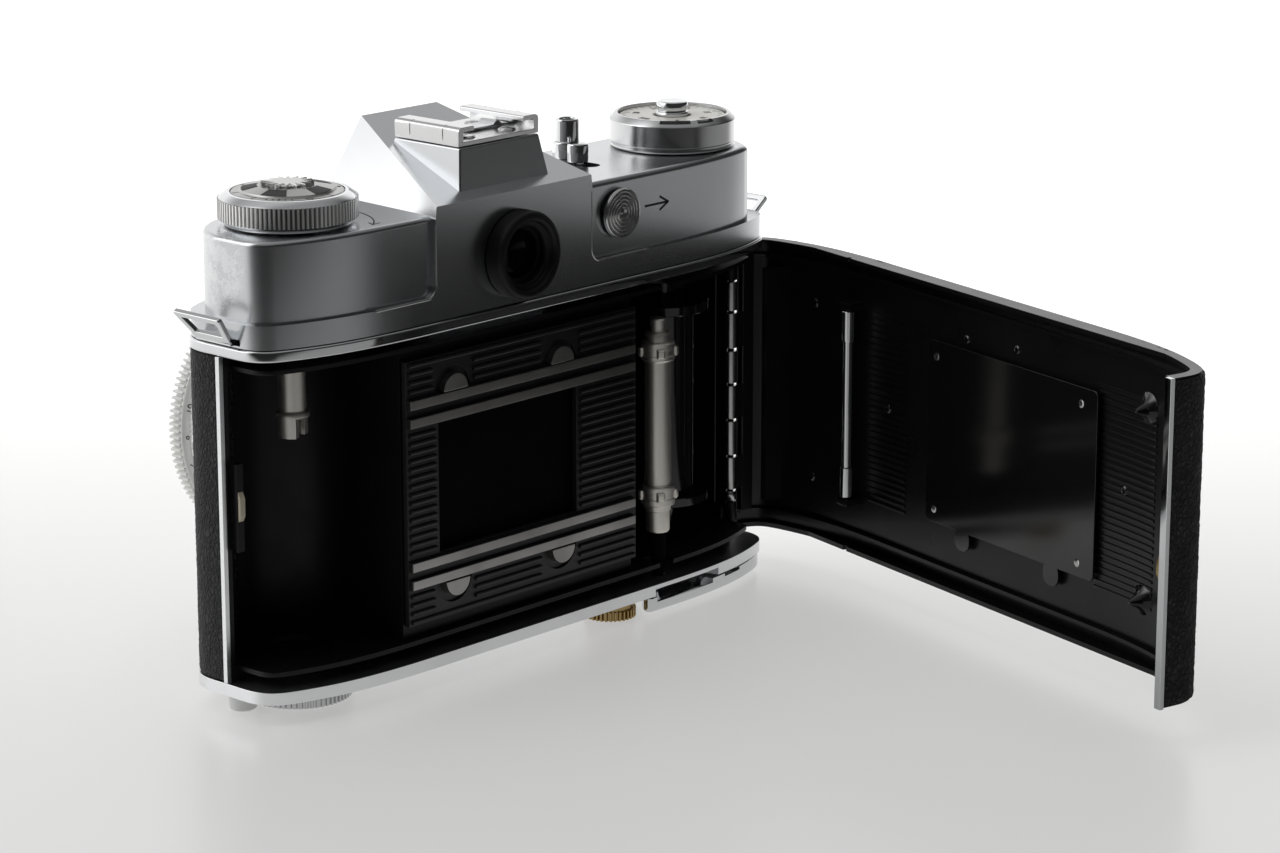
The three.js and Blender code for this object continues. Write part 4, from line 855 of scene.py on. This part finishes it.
def numerals(name, items, body, mat=INK, size=1.5, door=False):
    """items: (text, matrix placing the glyph's plane in layout mm)"""
    parts = []
    for text, mtx in items:
        cu = bpy.data.curves.new("n", 'FONT')
        cu.body = text
        cu.size = size
        cu.align_x = 'CENTER'
        cu.align_y = 'CENTER'
        cu.extrude = 0.02
        cu.resolution_u = 3
        o = bpy.data.objects.new("n", cu)
        scene.collection.objects.link(o)
        bpy.context.view_layer.update()
        me = bpy.data.meshes.new_from_object(o.evaluated_get(bpy.context.evaluated_depsgraph_get()))
        bpy.data.objects.remove(o)
        me.transform(mtx)
        parts.append(me)
    return emit(name, heap(*parts), mat, body, (), weighted=False, door=door)

scale_items = []
for i, text in enumerate(("3", "4", "5", "6", "8", "10", "15", "20", "40")):
    a = math.radians(-58 + 14 * i)
    er, ey = Vector((math.cos(a), 0, math.sin(a))), Vector((0, 1, 0))
    nn, uu = er * 0.824 + ey * 0.567, er * 0.567 - ey * 0.824
    xx = uu.cross(nn)
    pos = er * 22.78 + Vector((0, -62.8, 0)) + nn * 0.01
    mt = Matrix((xx, uu, nn)).transposed().to_4x4()
    mt.translation = pos
    scale_items.append((text, mt))
numerals("focusing_scale_numbers", scale_items, "focusing", size=1.9)

# rewind arrow on the deck, a curved line with a head
arc = [polar(REWIND, 14.9, a) for a in range(8, 54, 5)]
arc = [(REWIND[0] - (x - REWIND[0]), y) for x, y in arc]
head = arc[-1]
tip = Vector(arc[-1]); d = (Vector(arc[-1]) - Vector(arc[-2])).normalized()
s_ = Vector((-d.y, d.x))
hd = stroke([tuple(tip - d * 1.5 + s_ * 0.9), tuple(tip)], 0.26, DECK) + stroke([tuple(tip - d * 1.5 - s_ * 0.9), tuple(tip)], 0.26, DECK)
emit("rewind_arrow", heap(*(stroke(arc, 0.26, DECK) + hd)), INK, CAM, (), weighted=False)
# arrow beside the counter setting slide, on the back wall
def stroke_y(pts, w, y):
    return [moved(m, Matrix(((1, 0, 0, 0), (0, 0, 1, 0), (0, 1, 0, 0), (0, 0, 0, 1)))) for m in stroke(pts, w, y)]
WALL = 2.2 - 1.45
ar = stroke_y([(-35.1, 43.7), (-41.3, 43.7)], 0.42, WALL) + stroke_y([(-39.2, 44.95), (-41.5, 43.7)], 0.42, WALL) + stroke_y([(-39.2, 42.45), (-41.5, 43.7)], 0.42, WALL)
emit("slide_arrow", heap(*ar), INK, CAM, (), weighted=False)

# ================================================================== counter drum, release and buttons
cd = lathe([(3.5, 55.0), (3.5, 52.6), (2.3, 52.6), (2.3, 50.3), (11.6, 50.3), (11.9, 50.5), (12.05, 50.75), (12.0, 51.0), (11.85, 51.1), (11.85, 51.35), (12.0, 51.45), (12.1, 51.6),
            (12.1, 55.55), (12.0, 55.75), (11.15, 56.6), (10.95, 56.7), (10.55, 56.7), (10.45, 56.6), (10.45, 55.0), (3.5, 55.0)], *COUNTER, 160)
def notch(a0, a1):
    pts = [polar(COUNTER, 10.7, a0)] + [polar(COUNTER, 10.7, a0 + (a1 - a0) * i / 8) for i in range(1, 9)] + [polar(COUNTER, 13, a1 - (a1 - a0) * i / 8) for i in range(9)]
    return prism(pts, 56.15, 58)
cd = cut(cd, notch(29.8, 59.7), notch(67, 85))
emit("counter_drum", cd, SATIN_FINE, CAM, ["counter_housing"], sharp=25)
emit("counter_disc", lathe([(3.65, 55.3), (10.2, 55.3), (10.2, 56.0), (10.05, 56.1), (3.8, 56.1), (3.65, 55.95), (3.65, 55.3)], *COUNTER, 128), LACQUER, "frame_counter", ["counter_dial"])
tick = []
for i in range(36):
    a = 10 * i
    tick += stroke([polar(COUNTER, 8.9 if i % 5 else 8.3, a), polar(COUNTER, 9.7, a)], 0.16, 56.09)
emit("counter_ticks", heap(*tick), INK, "frame_counter", (), weighted=False)
items = []
for i in range(0, 36, 5):
    a = math.radians(10 * i)
    x, y = polar(COUNTER, 7.0, 10 * i)
    items.append((str(i), Matrix.Translation((x, y, 56.12)) @ Matrix.Rotation(a - math.pi / 2, 4, 'Z')))
numerals("counter_numbers", items, "frame_counter", size=1.9)
emit("release_button_cap", lathe([(0, 43.0), (2.0, 43.0), (2.0, 54.9), (3.1, 54.9), (3.15, 55.1), (3.15, 56.5), (3.0, 56.75), (2.75, 56.85), (2.72, 57.0), (2.95, 57.2), (3.0, 57.4), (3.0, 58.3), (2.85, 58.65), (2.5, 58.8), (1.6, 58.78), (0, 58.62)], *COUNTER, 72), BRIGHT, "release", ["release_button"], sharp=28)
cs = lathe([(0, 49.0), (1.4, 49.0), (1.4, 50.25), (2.75, 50.25), (2.8, 50.5), (2.75, 53.0), (2.6, 53.3), (2.4, 53.4), (2.3, 53.5), (2.3, 57.3), (2.15, 57.6), (1.85, 57.7), (1.5, 57.6), (1.4, 57.3), (1.4, 54.0), (0, 53.6)], -36, -20, 56)
emit("cable_socket", cs, BRIGHT, CAM, ["cable_release_socket"], sharp=28)
cb = lathe([(0, 47.6), (3.0, 47.6), (3.0, 48.6), (1.6, 48.6), (1.6, 50.3), (1.95, 50.6), (2.0, 50.9), (2.0, 53.6), (1.85, 53.95), (1.55, 54.1), (0, 54.1)], -32.9, -14.3, 48)
emit("set_button", cb, BRIGHT, "counter_lock", ["counter_release_button"], sharp=28)
prof = [(0, -1.6), (2.4, -1.6), (2.4, -0.6), (1.0, -0.6), (1.0, 1.3), (4.45, 1.3), (4.65, 1.45), (4.7, 1.7), (4.65, 2.0)]
r = 4.45
while r > 0.9:
    prof += [(r, 2.25), (r - 0.22, 2.32), (r - 0.30, 2.30), (r - 0.42, 1.98), (r - 0.56, 1.98), (r - 0.66, 2.2)]
    r -= 0.72
prof += [(0.7, 2.1), (0.4, 1.9), (0, 1.86)]
emit("counter_slide_disc", lathe_y(prof, -27.6, 43.7, 96), STEEL, "counter_setter", ["counter_slide"], sharp=30)

# ================================================================== film transport
sp = lathe([(0, 20.6), (1.4, 20.6), (1.6, 20.4), (1.6, 18.0), (2.4, 17.9), (2.5, 17.7), (2.5, 16.2), (3.1, 16.1), (3.25, 15.9), (3.25, 14.9), (3.1, 14.8), (3.1, 13.6), (3.25, 13.5), (3.25, 12.8), (3.1, 12.6), (2.7, 12.5), (2.55, 12.2), (2.55, -11.6),
            (2.4, -11.9), (2.55, -12.1), (3.1, -12.2), (3.25, -12.4), (3.25, -13.2), (3.1, -13.3), (3.1, -14.6), (3.25, -14.7), (3.25, -15.7), (3.1, -15.9), (2.55, -16.0), (2.5, -17.0), (2.3, -17.2), (2.3, -20.9), (2.1, -21.3), (0, -21.3)], *SPROCKET, 72)
emit("sprocket_lower_pin", lathe([(0, -21.3), (1.6, -21.35), (1.6, -26.6), (1.1, -26.9), (1.1, -31.4), (0, -31.4), (0, -21.3)], *SPROCKET, 40), DEEP, "sprocket", ())
teeth = []
for z in (14.2, -13.95):
    for i in range(4):
        a = math.radians(-38 + 90 * i)
        m = bevel(loft([[(2.7, -0.85, -0.95), (2.7, 0.85, -0.95), (2.7, 0.85, 0.95), (2.7, -0.85, 0.95)], [(3.5, -0.8, -0.9), (3.5, 0.8, -0.9), (3.5, 0.8, 0.9), (3.5, -0.8, 0.9)], [(3.9, -0.5, -0.6), (3.9, 0.5, -0.6), (3.9, 0.5, 0.6), (3.9, -0.5, 0.6)]]), 0.08, 2)
        teeth.append(moved(m, Matrix.Translation((SPROCKET[0], SPROCKET[1], z)) @ Matrix.Rotation(a, 4, 'Z')))
emit("sprocket_roller", heap(sp, *teeth), NICKEL, "sprocket", ["sprocket_shaft"], sharp=28)
ts = lathe([(0, 28.4), (2.4, 28.4), (2.4, 20.2), (8.8, 20.2), (9.0, 20.0), (9.0, 18.4), (8.8, 18.2), (6.2, 18.1), (6.2, -18.0), (8.8, -18.2), (9.0, -18.4), (9.0, -19.8), (8.8, -20.0), (2.4, -20.0), (2.4, -28.6), (0, -28.6)], *SPOOL, 72)
ts = cut(ts, box(SPOOL[0] - 0.6, SPOOL[0] + 0.6, SPOOL[1] - 8, SPOOL[1] + 2, -15, 15))
emit("take_up_drum", ts, GLOSS, "take_up", ["take_up_spool"], sharp=30)

# ================================================================== controls of the base
back = [p for p in outline(0.35, 4) if p[1] > -11.0 and -73.9 < p[0] < -44.0]
back.sort(key=lambda p: -p[0])
arm = [(-35.2, 0.4), (-35.35, 1.2), (-36.0, 1.75), (-38.0, 1.8), (-41, 1.8)] + back
arm += [(-73.6, -12.5), (-72.4, -16.2), (-69.8, -19.6), (-66.0, -22.4), (-61.6, -24.4), (-57.0, -25.3), (-52.5, -25.1), (-48.4, -23.6), (-45.4, -20.8), (-43.8, -17.2), (-43.4, -13.0), (-42.6, -9.4), (-41.0, -6.2), (-38.6, -3.2), (-36.4, -1.2)]
lv = prism(arm, -35.4, -32.7)
lv = bevel(lv, 0.5, 4, 40, where=lambda p: p.z < -34)
lv = cut(lv, prism([(-37.4, 8), (-37.5, 1.3), (-38.4, 0.2), (-39.6, -0.5), (-41.5, -0.9), (-51.5, -1.7), (-53.4, -1.2), (-54.4, 2), (-54.6, 8)], -33.55, -30))
lv = cut(lv, prism([(-58.2, 8), (-58.2, -1.2), (-60.5, -2.4), (-63.6, -2.6), (-64.4, 8)], -33.3, -30))
lv = join(lv, lathe([(0, -36.0), (8.6, -36.0), (9.1, -35.85), (9.4, -35.45), (9.4, -33.2), (3.1, -33.2), (3.1, -30.2), (0, -30.2)], *LEVER, 96))
emit("wind_lever_arm", lv, BRIGHT, "winder", ["wind_lever"], sharp=35)
rb = join(prism(knurl(-31, -4.6, 5.0, 4.45, 34), -35.9, -34.15), lathe([(0, -34.4), (4.4, -34.4), (4.4, -32.9), (2.1, -32.9), (2.1, -30.2), (0, -30.2)], -31, -4.6, 56))
emit("rewind_release_wheel", rb, BRASS, "rewind_release", ["rewind_release_button"], sharp=25)
emit("tripod_bush_turned", lathe([(2.7, -35.9), (6.6, -35.9), (6.8, -35.7), (6.8, -32.6), (7.7, -32.4), (7.7, -30.3), (2.7, -30.3), (2.7, -30.9), (3.1, -31.1), (2.7, -31.4), (3.1, -31.9), (2.7, -32.2), (3.1, -32.7), (2.7, -33.0), (3.1, -33.5), (2.7, -33.8), (3.1, -34.3), (2.7, -34.6), (3.1, -35.1), (2.7, -35.4), (2.7, -35.9)], *REWIND, 64), STEEL, CAM, ["tripod_bush"], sharp=30)
lc = cut(prism(knurl(*REWIND, 9.6, 9.2, 60), -35.75, -34.3), rod(*REWIND, 7.9, -40, -30, 72))
lc = join(lc, lathe([(7.9, -35.9), (9.0, -35.9), (9.25, -35.7), (9.25, -34.4), (9.5, -34.25), (9.55, -33.9), (9.4, -33.6), (9.3, -32.5), (7.9, -32.5), (7.9, -35.9)], *REWIND, 96))
emit("latch_collar_ring", lc, SATIN_FINE, "latch_ring", ["latch_collar"], sharp=25)
tg = bevel(box(54.9, 56.5, -13.3, -12.1, -6.0, 10.0), 0.12, 2)
hooks = []
for z0, z1 in ((-1.0, 5.4), (-5.6, -2.2)):
    m = prism_x([(-13.0, z0), (-12.0, z0 + 0.6), (-11.5, z0 + 1.6), (-11.5, z1 - 1.6), (-12.0, z1 - 0.5), (-13.0, z1)], 55.1, 56.3)
    hooks.append(bevel(m, 0.15, 2))
emit("latch_bar_tongue", tg, BLACK, "latch_bar", ["latch_tongue"])
emit("latch_bar_hook", hooks[0], CREAM, "latch_bar", ())

# ================================================================== hinge
emit("hinge_pin_rod", lathe([(0, 26.5), (0.5, 26.5), (0.62, 26.3), (0.62, -26.3), (0.5, -26.5), (0, -26.5)], *HINGE, 32), BLACK, CAM, ["hinge_pin"])
def barrel(z0, z1):
    z0, z1 = min(z0, z1), max(z0, z1)
    return lathe([(0.7, z0 + 0.12), (1.1, z0 + 0.12), (1.2, z0 + 0.25), (1.2, z1 - 0.25), (1.1, z1 - 0.12), (0.7, z1 - 0.12), (0.7, z0 + 0.12)], *HINGE, 36)
bodyk = [(15.2, 21.2), (7.2, 0.5), (-7.1, -14.2), (-21.5, -23.6)]
doork = [(14.9, 7.6), (0.2, -6.8), (-14.5, -21.3)]
emit("hinge_body_half", heap(*[barrel(a, b_) for a, b_ in bodyk]), STEEL, CAM, ["hinge_body_leaf"])
emit("hinge_body_plate", heap(*([bevel(box(-75.0, -74.5, -16.0, -13.25, -28.9, 28.6), 0.08, 1), bevel(box(-75.0, -72.0, -16.1, -12.3, BOTTOM + 0.05, -24.8), 0.15, 2), barrel(21.3, 28.7), barrel(-28.9, -23.7)] + [box(-75.0, -74.45, -13.4, -12.7, min(a, b_) + 0.15, max(a, b_) - 0.15) for a, b_ in bodyk])), BLACK, CAM, ())
emit("hinge_door_half", heap(*[barrel(a, b_) for a, b_ in doork]), STEEL, "door", ["hinge_door_leaf"], door=True)
emit("hinge_door_plate", heap(*([box(-74.2, -73.7, -11.2, -8.0, min(a, b_) + 0.15, max(a, b_) - 0.15) for a, b_ in doork] + [bevel(box(-74.2, -73.65, -9.4, -7.0, -26, 26), 0.08, 1)])), BLACK, "door", (), door=True)

# ================================================================== back door
z0, z1 = BOTTOM + 0.3, TOP - 0.3
half = box(-90, 70, -12.0, 10, -60, 60)
end_cut = box(-90, -71.5, -20, -9.6, -60, 60)
d = cut(prism(outline(0.2), z0, z1), prism(outline(0.8), -60, 60))
def rim(a, b_):
    m = cut(prism(outline(0.2), a, b_), prism(outline(2.3), -60, 60))
    return join(m, both(prism(outline(0.2), a, b_), box(-74, 57, -1.6, 10, -60, 60)))
def ridge(a, b_, r=2.0):
    return cut(prism(outline(0.7), a, b_), prism(outline(r), -60, 60))
d = join(d, rim(z0, z0 + 0.9), rim(z1 - 0.9, z1), ridge(z0 + 3.0, z0 + 3.7), ridge(z1 - 3.7, z1 - 3.0))
d = cut(both(d, half), end_cut)
rb_ = both(box(-71.6, -69.9, -6.4, -1.0, -23.6, 23.6), prism(outline(0.5), -60, 60))
d = join(d, rb_)
ears = []
for z in (18.9, -20.3):
    ears.append(bevel(prism_y([(-51.2, z), (-47.8, z), (-47.8, z + 1.4), (-51.2, z + 1.4)], -2.6, 1.5), 0.25, 2))
d = join(d, *ears)
d = cut(d, rod(-49.5, -1.5, 0.55, -30, 30, 20))
d = bevel(d, 0.14, 2, 40)
emit("back_door_shell", d, SHELL, "door", ["back_door"], door=True)
fine = []
for x0, x1 in ((-46.0, -34.0), (23.0, 40.0)):
    for i in range(-15, 16):
        z = i * 1.25
        m = cut(prism(outline(0.72), z - 0.3, z + 0.3), prism(outline(1.0), -60, 60))
        fine.append(bevel(both(m, box(x0, x1, -8, 10, -60, 60)), 0.10, 2))
emit("door_panel_ribs", heap(*fine), SHELL, "door", (), door=True)
cones = []
for z in (17.5, -17.5):
    cones.append(lathe_y([(0, -2.7), (0.25, -2.62), (0.6, -2.1), (1.2, -0.9), (1.9, 0.0), (2.6, 0.55), (3.1, 0.9), (3.1, 1.15), (0, 1.15)], 37.6, z, 56))
emit("cassette_locating_cones", heap(*cones), GLOSS, "door", (), door=True)
def rivet(x, z, y, r, dome=0.35):
    return lathe_y([(0, y - dome), (r * 0.5, y - dome * 0.9), (r * 0.85, y - dome * 0.5), (r, y), (r, y + 0.4), (0, y + 0.4)], x, z, 32)
dimples = []
for u, z in ((62.1, 17.6), (62.5, -17.7), (39.9, 0.7), (-30.9, 1.0), (15.7, 19.2), (0.7, 20.3)):
    ring_y = 1.4 if abs(u) < 36 or True else 1.2
    y_in = None
    for p, q in zip(outline(0.8), outline(0.8)[1:]):
        if p[1] > CY and q[1] > CY and min(p[0], q[0]) <= -u <= max(p[0], q[0]):
            y_in = p[1] + (q[1] - p[1]) * ((-u - p[0]) / (q[0] - p[0] + 1e-9))
    y_in = 1.4 if y_in is None else y_in
    dimples.append(lathe_y([(0.45, y_in - 0.28), (0.62, y_in - 0.34), (0.85, y_in - 0.22), (1.0, y_in), (1.0, y_in + 0.3), (0.45, y_in + 0.3), (0.45, y_in - 0.28)], -u, z, 32))
emit("door_rivets", heap(*dimples), GLOSS, "door", (), door=True)
# pressure plate and its spring
pp = prism_y(rounded(-26.0, 24.0, -17.7, 17.7, 1.2), 0.15, 0.6)
tabs = [prism_y(rounded(x - 2.2, x + 2.2, -21.4, -16.8, 1.9), 0.15, 0.6) for x in (-14.6, 12.0)]
pp = bevel(join(pp, *tabs), 0.12, 3, 40)
emit("pressure_plate_sheet", pp, GLOSS, "door_pressure", ["pressure_plate"], door=True, sharp=50)
emit("pressure_plate_rivets", heap(*[rivet(x, z, 0.16, 0.75, 0.12) for x in (-23.4, 19.4) for z in (14.6, -15.2)]), STEEL, "door_pressure", (), door=True)
sg = [(-13.0, 1.22), (-12.0, 1.30), (-6.0, 0.82), (4.0, 0.82), (10.0, 1.30), (11.0, 1.22), (11.0, 1.34), (10.0, 1.42), (4.0, 0.95), (-6.0, 0.95), (-12.0, 1.42), (-13.0, 1.34)]
emit("pressure_leaf_spring", prism(sg, -4, 4), STEEL, "door", ["pressure_plate_spring"], door=True)
ro = lathe([(0, 19.9), (0.45, 19.9), (0.45, 18.7), (1.15, 18.6), (1.25, 18.5), (1.25, 12.8), (1.15, 12.6), (0.95, 12.5), (0.95, -12.5), (1.15, -12.6), (1.25, -12.8), (1.25, -18.5), (1.15, -18.6), (0.45, -18.7), (0.45, -20.2), (0, -20.2)], -49.5, -1.5, 48)
emit("film_roller_rod", ro, BRIGHT, "door_roller", ["film_roller"], door=True, sharp=28)
lh = prism_x([(-7.0, -8.2), (-7.0, -2.0), (-9.6, -2.0), (-11.2, -2.8), (-11.8, -4.0), (-11.8, -6.2), (-11.2, -7.4), (-9.6, -8.2)], 55.1, 56.1)
lh = cut(bevel(lh, 0.15, 2, 30), box(54, 60, -10.6, -9.2, -7.2, -3.0))
emit("door_latch_plate", lh, BRASS, "door", ["door_latch_hook"], door=True)
dc = sheet(-0.4, 0.15, z0 + 0.45, z1 - 0.45, (-71.4, 70, -12.0, 10), amp=0.16, seed=1.3)
emit("door_covering_skin", dc, HIDE, "door", ["door_covering"], door=True, sharp=70, weighted=False)
ds = both(cut(prism(outline(-0.3), z0 - 0.1, z1 + 0.1), prism(outline(1.3), -60, 60)), box(50, 70, -12.95, -12.05, -60, 60))
emit("door_edge_trim", bevel(ds, 0.1, 2), BRIGHT, "door", ["door_edge_strip"], door=True)

# ================================================================== pieces kept from the frame
keep("pentaprism", GLASS)
keep("focusing_screen", GLASS)
keep("lens_rear_element", GLASS)
keep("mirror", SILVER)
keep("capping_plate", DEEP)

# ================================================================== stage, light, camera
def stage_obj(o):
    return o
bm = bmesh.new()
N = 48
bmesh.ops.create_grid(bm, x_segments=N, y_segments=N, size=3.0)
me = bpy.data.meshes.new("floor")
bm.to_mesh(me)
bm.free()
me.transform(Matrix.Translation((0, 0, -0.00002)))
fl = bpy.data.objects.new("floor", me)
scene.collection.objects.link(fl)
stage_obj(fl)
n = Nodes("pale_floor")
# distance behind the object as the camera sees it, in metres
dot = n.new('ShaderNodeVectorMath', operation='DOT_PRODUCT')
n.link(n.co, dot.inputs[0])
dot.inputs[1].default_value = (-0.741, -0.672, 0.0)
def span(v, a, b_):
    m_ = n.new('ShaderNodeMapRange', interpolation_type='SMOOTHSTEP')
    n.link(v, m_.inputs['Value'])
    m_.inputs['From Min'].default_value = a
    m_.inputs['From Max'].default_value = b_
    return m_.outputs['Result']
t_ = dot.outputs['Value']
# the floor is painted: it is black on the photographer's side as painted shade for the dim room, and its glow,
# stronger further behind, is painted light
lit = span(t_, -0.31, -0.21)
far = span(t_, -0.12, 0.45)
# painted dark reflection: glossy rays see the floor's glow cut down on the far side of the door, standing in for a
# black card there
yy = n.new('ShaderNodeVectorMath', operation='DOT_PRODUCT')
n.link(n.co, yy.inputs[0])
yy.inputs[1].default_value = (0.0, 1.0, 0.0)
painted_dark_reflection = span(yy.outputs['Value'], 0.03, 0.16)
path = n.new('ShaderNodeLightPath')
flag = n.maths('SUBTRACT', 1.0, n.maths('MULTIPLY', n.maths('MULTIPLY', path.outputs['Is Glossy Ray'], painted_dark_reflection), 0.86))
n.set(Base_Color=n.mix(lit, (0.02, 0.02, 0.02), (0.40, 0.40, 0.40)), Roughness=0.30, Specular_IOR_Level=0.30,
      Emission_Color=(1.0, 0.995, 0.985), Emission_Strength=n.maths('MULTIPLY', flag, n.maths('MULTIPLY', lit, n.maths('ADD', FLOOR_GLOW, n.maths('MULTIPLY', far, 0.50)))))
fl.data.materials.append(n.m)

w = bpy.data.worlds.new("studio")
scene.world = w
w.use_nodes = True
nt = w.node_tree
bg = nt.nodes["Background"]
tc = nt.nodes.new('ShaderNodeTexCoord')
sep = nt.nodes.new('ShaderNodeSeparateXYZ')
nt.links.new(tc.outputs['Generated'], sep.inputs[0])
def wm(op, a, b_=None):
    x = nt.nodes.new('ShaderNodeMath')
    x.operation = op
    for i, v in enumerate((a, b_)):
        if v is None:
            continue
        if isinstance(v, (int, float)):
            x.inputs[i].default_value = v
        else:
            nt.links.new(v, x.inputs[i])
    return x.outputs[0]
def step(v, a, b_):
    m_ = nt.nodes.new('ShaderNodeMapRange')
    m_.interpolation_type = 'SMOOTHSTEP'
    nt.links.new(v, m_.inputs['Value'])
    m_.inputs['From Min'].default_value = a
    m_.inputs['From Max'].default_value = b_
    return m_.outputs['Result']
# a white sweep behind the camera, a soft box high on the rewind side, a dim room on the photographer's side
X_, Y_, Z_ = sep.outputs['X'], sep.outputs['Y'], sep.outputs['Z']
behind = step(wm('MULTIPLY', Y_, -1.0), 0.02, 0.42)
side = wm('MULTIPLY', step(X_, 0.10, 0.60), step(Z_, 0.10, 0.36))
high = step(Z_, 0.34, 0.72)
level = wm('ADD', 1.05, wm('MULTIPLY', side, 1.25))
fade = wm('SUBTRACT', 1.0, wm('MULTIPLY', wm('MULTIPLY', high, wm('SUBTRACT', 1.0, side)), 0.76))
room = wm('ADD', 0.030, wm('MULTIPLY', step(Z_, 0.45, 0.95), 0.28))
total = wm('ADD', wm('MULTIPLY', wm('MULTIPLY', behind, level), fade), room)
comb = nt.nodes.new('ShaderNodeCombineXYZ')
for i in range(3):
    nt.links.new(total, comb.inputs[i])
nt.links.new(comb.outputs[0], bg.inputs['Color'])
bg.inputs['Strength'].default_value = 1.0
lp = nt.nodes.new('ShaderNodeLightPath')
bgw = nt.nodes.new('ShaderNodeBackground')
bgw.inputs['Color'].default_value = (1, 1, 1, 1)
bgw.inputs['Strength'].default_value = 1.0
mixs = nt.nodes.new('ShaderNodeMixShader')
nt.links.new(lp.outputs['Is Camera Ray'], mixs.inputs['Fac'])
nt.links.new(bg.outputs[0], mixs.inputs[1])
nt.links.new(bgw.outputs[0], mixs.inputs[2])
nt.links.new(mixs.outputs[0], nt.nodes["World Output"].inputs['Surface'])

def area(name, loc, target, size, power, size_y=None, glossy=False):
    li = bpy.data.lights.new(name, 'AREA')
    li.energy = power
    li.shape = 'RECTANGLE'
    li.size = size
    li.size_y = size_y or size
    o = bpy.data.objects.new(name, li)
    scene.collection.objects.link(o)
    o.location = loc
    o.rotation_euler = (Vector(target) - Vector(loc)).to_track_quat('-Z', 'Y').to_euler()
    o.visible_glossy = glossy
    return o
area("top_soft", (-0.15, -0.20, 1.2), (0, 0.05, 0), 1.2, 5.0)

cam = bpy.data.cameras.new("view")
cam.sensor_width = 36
cam.lens = 110.48
cam.clip_start = 0.01
cam.clip_end = 50
co = bpy.data.objects.new("view", cam)
scene.collection.objects.link(co)
th, ph = 0.2561, 0.8342
look = Vector((-math.sin(ph) * math.cos(th), -math.cos(ph) * math.cos(th), -math.sin(th)))
right = Vector((-math.cos(ph), math.sin(ph), 0))
up = right.cross(look)
m = Matrix((right, up, -look)).transposed().to_4x4()
m.translation = Vector((0.49665, 0.51767, 0.22511))
co.matrix_world = m
scene.camera = co
scene.view_settings.view_transform = 'Standard'
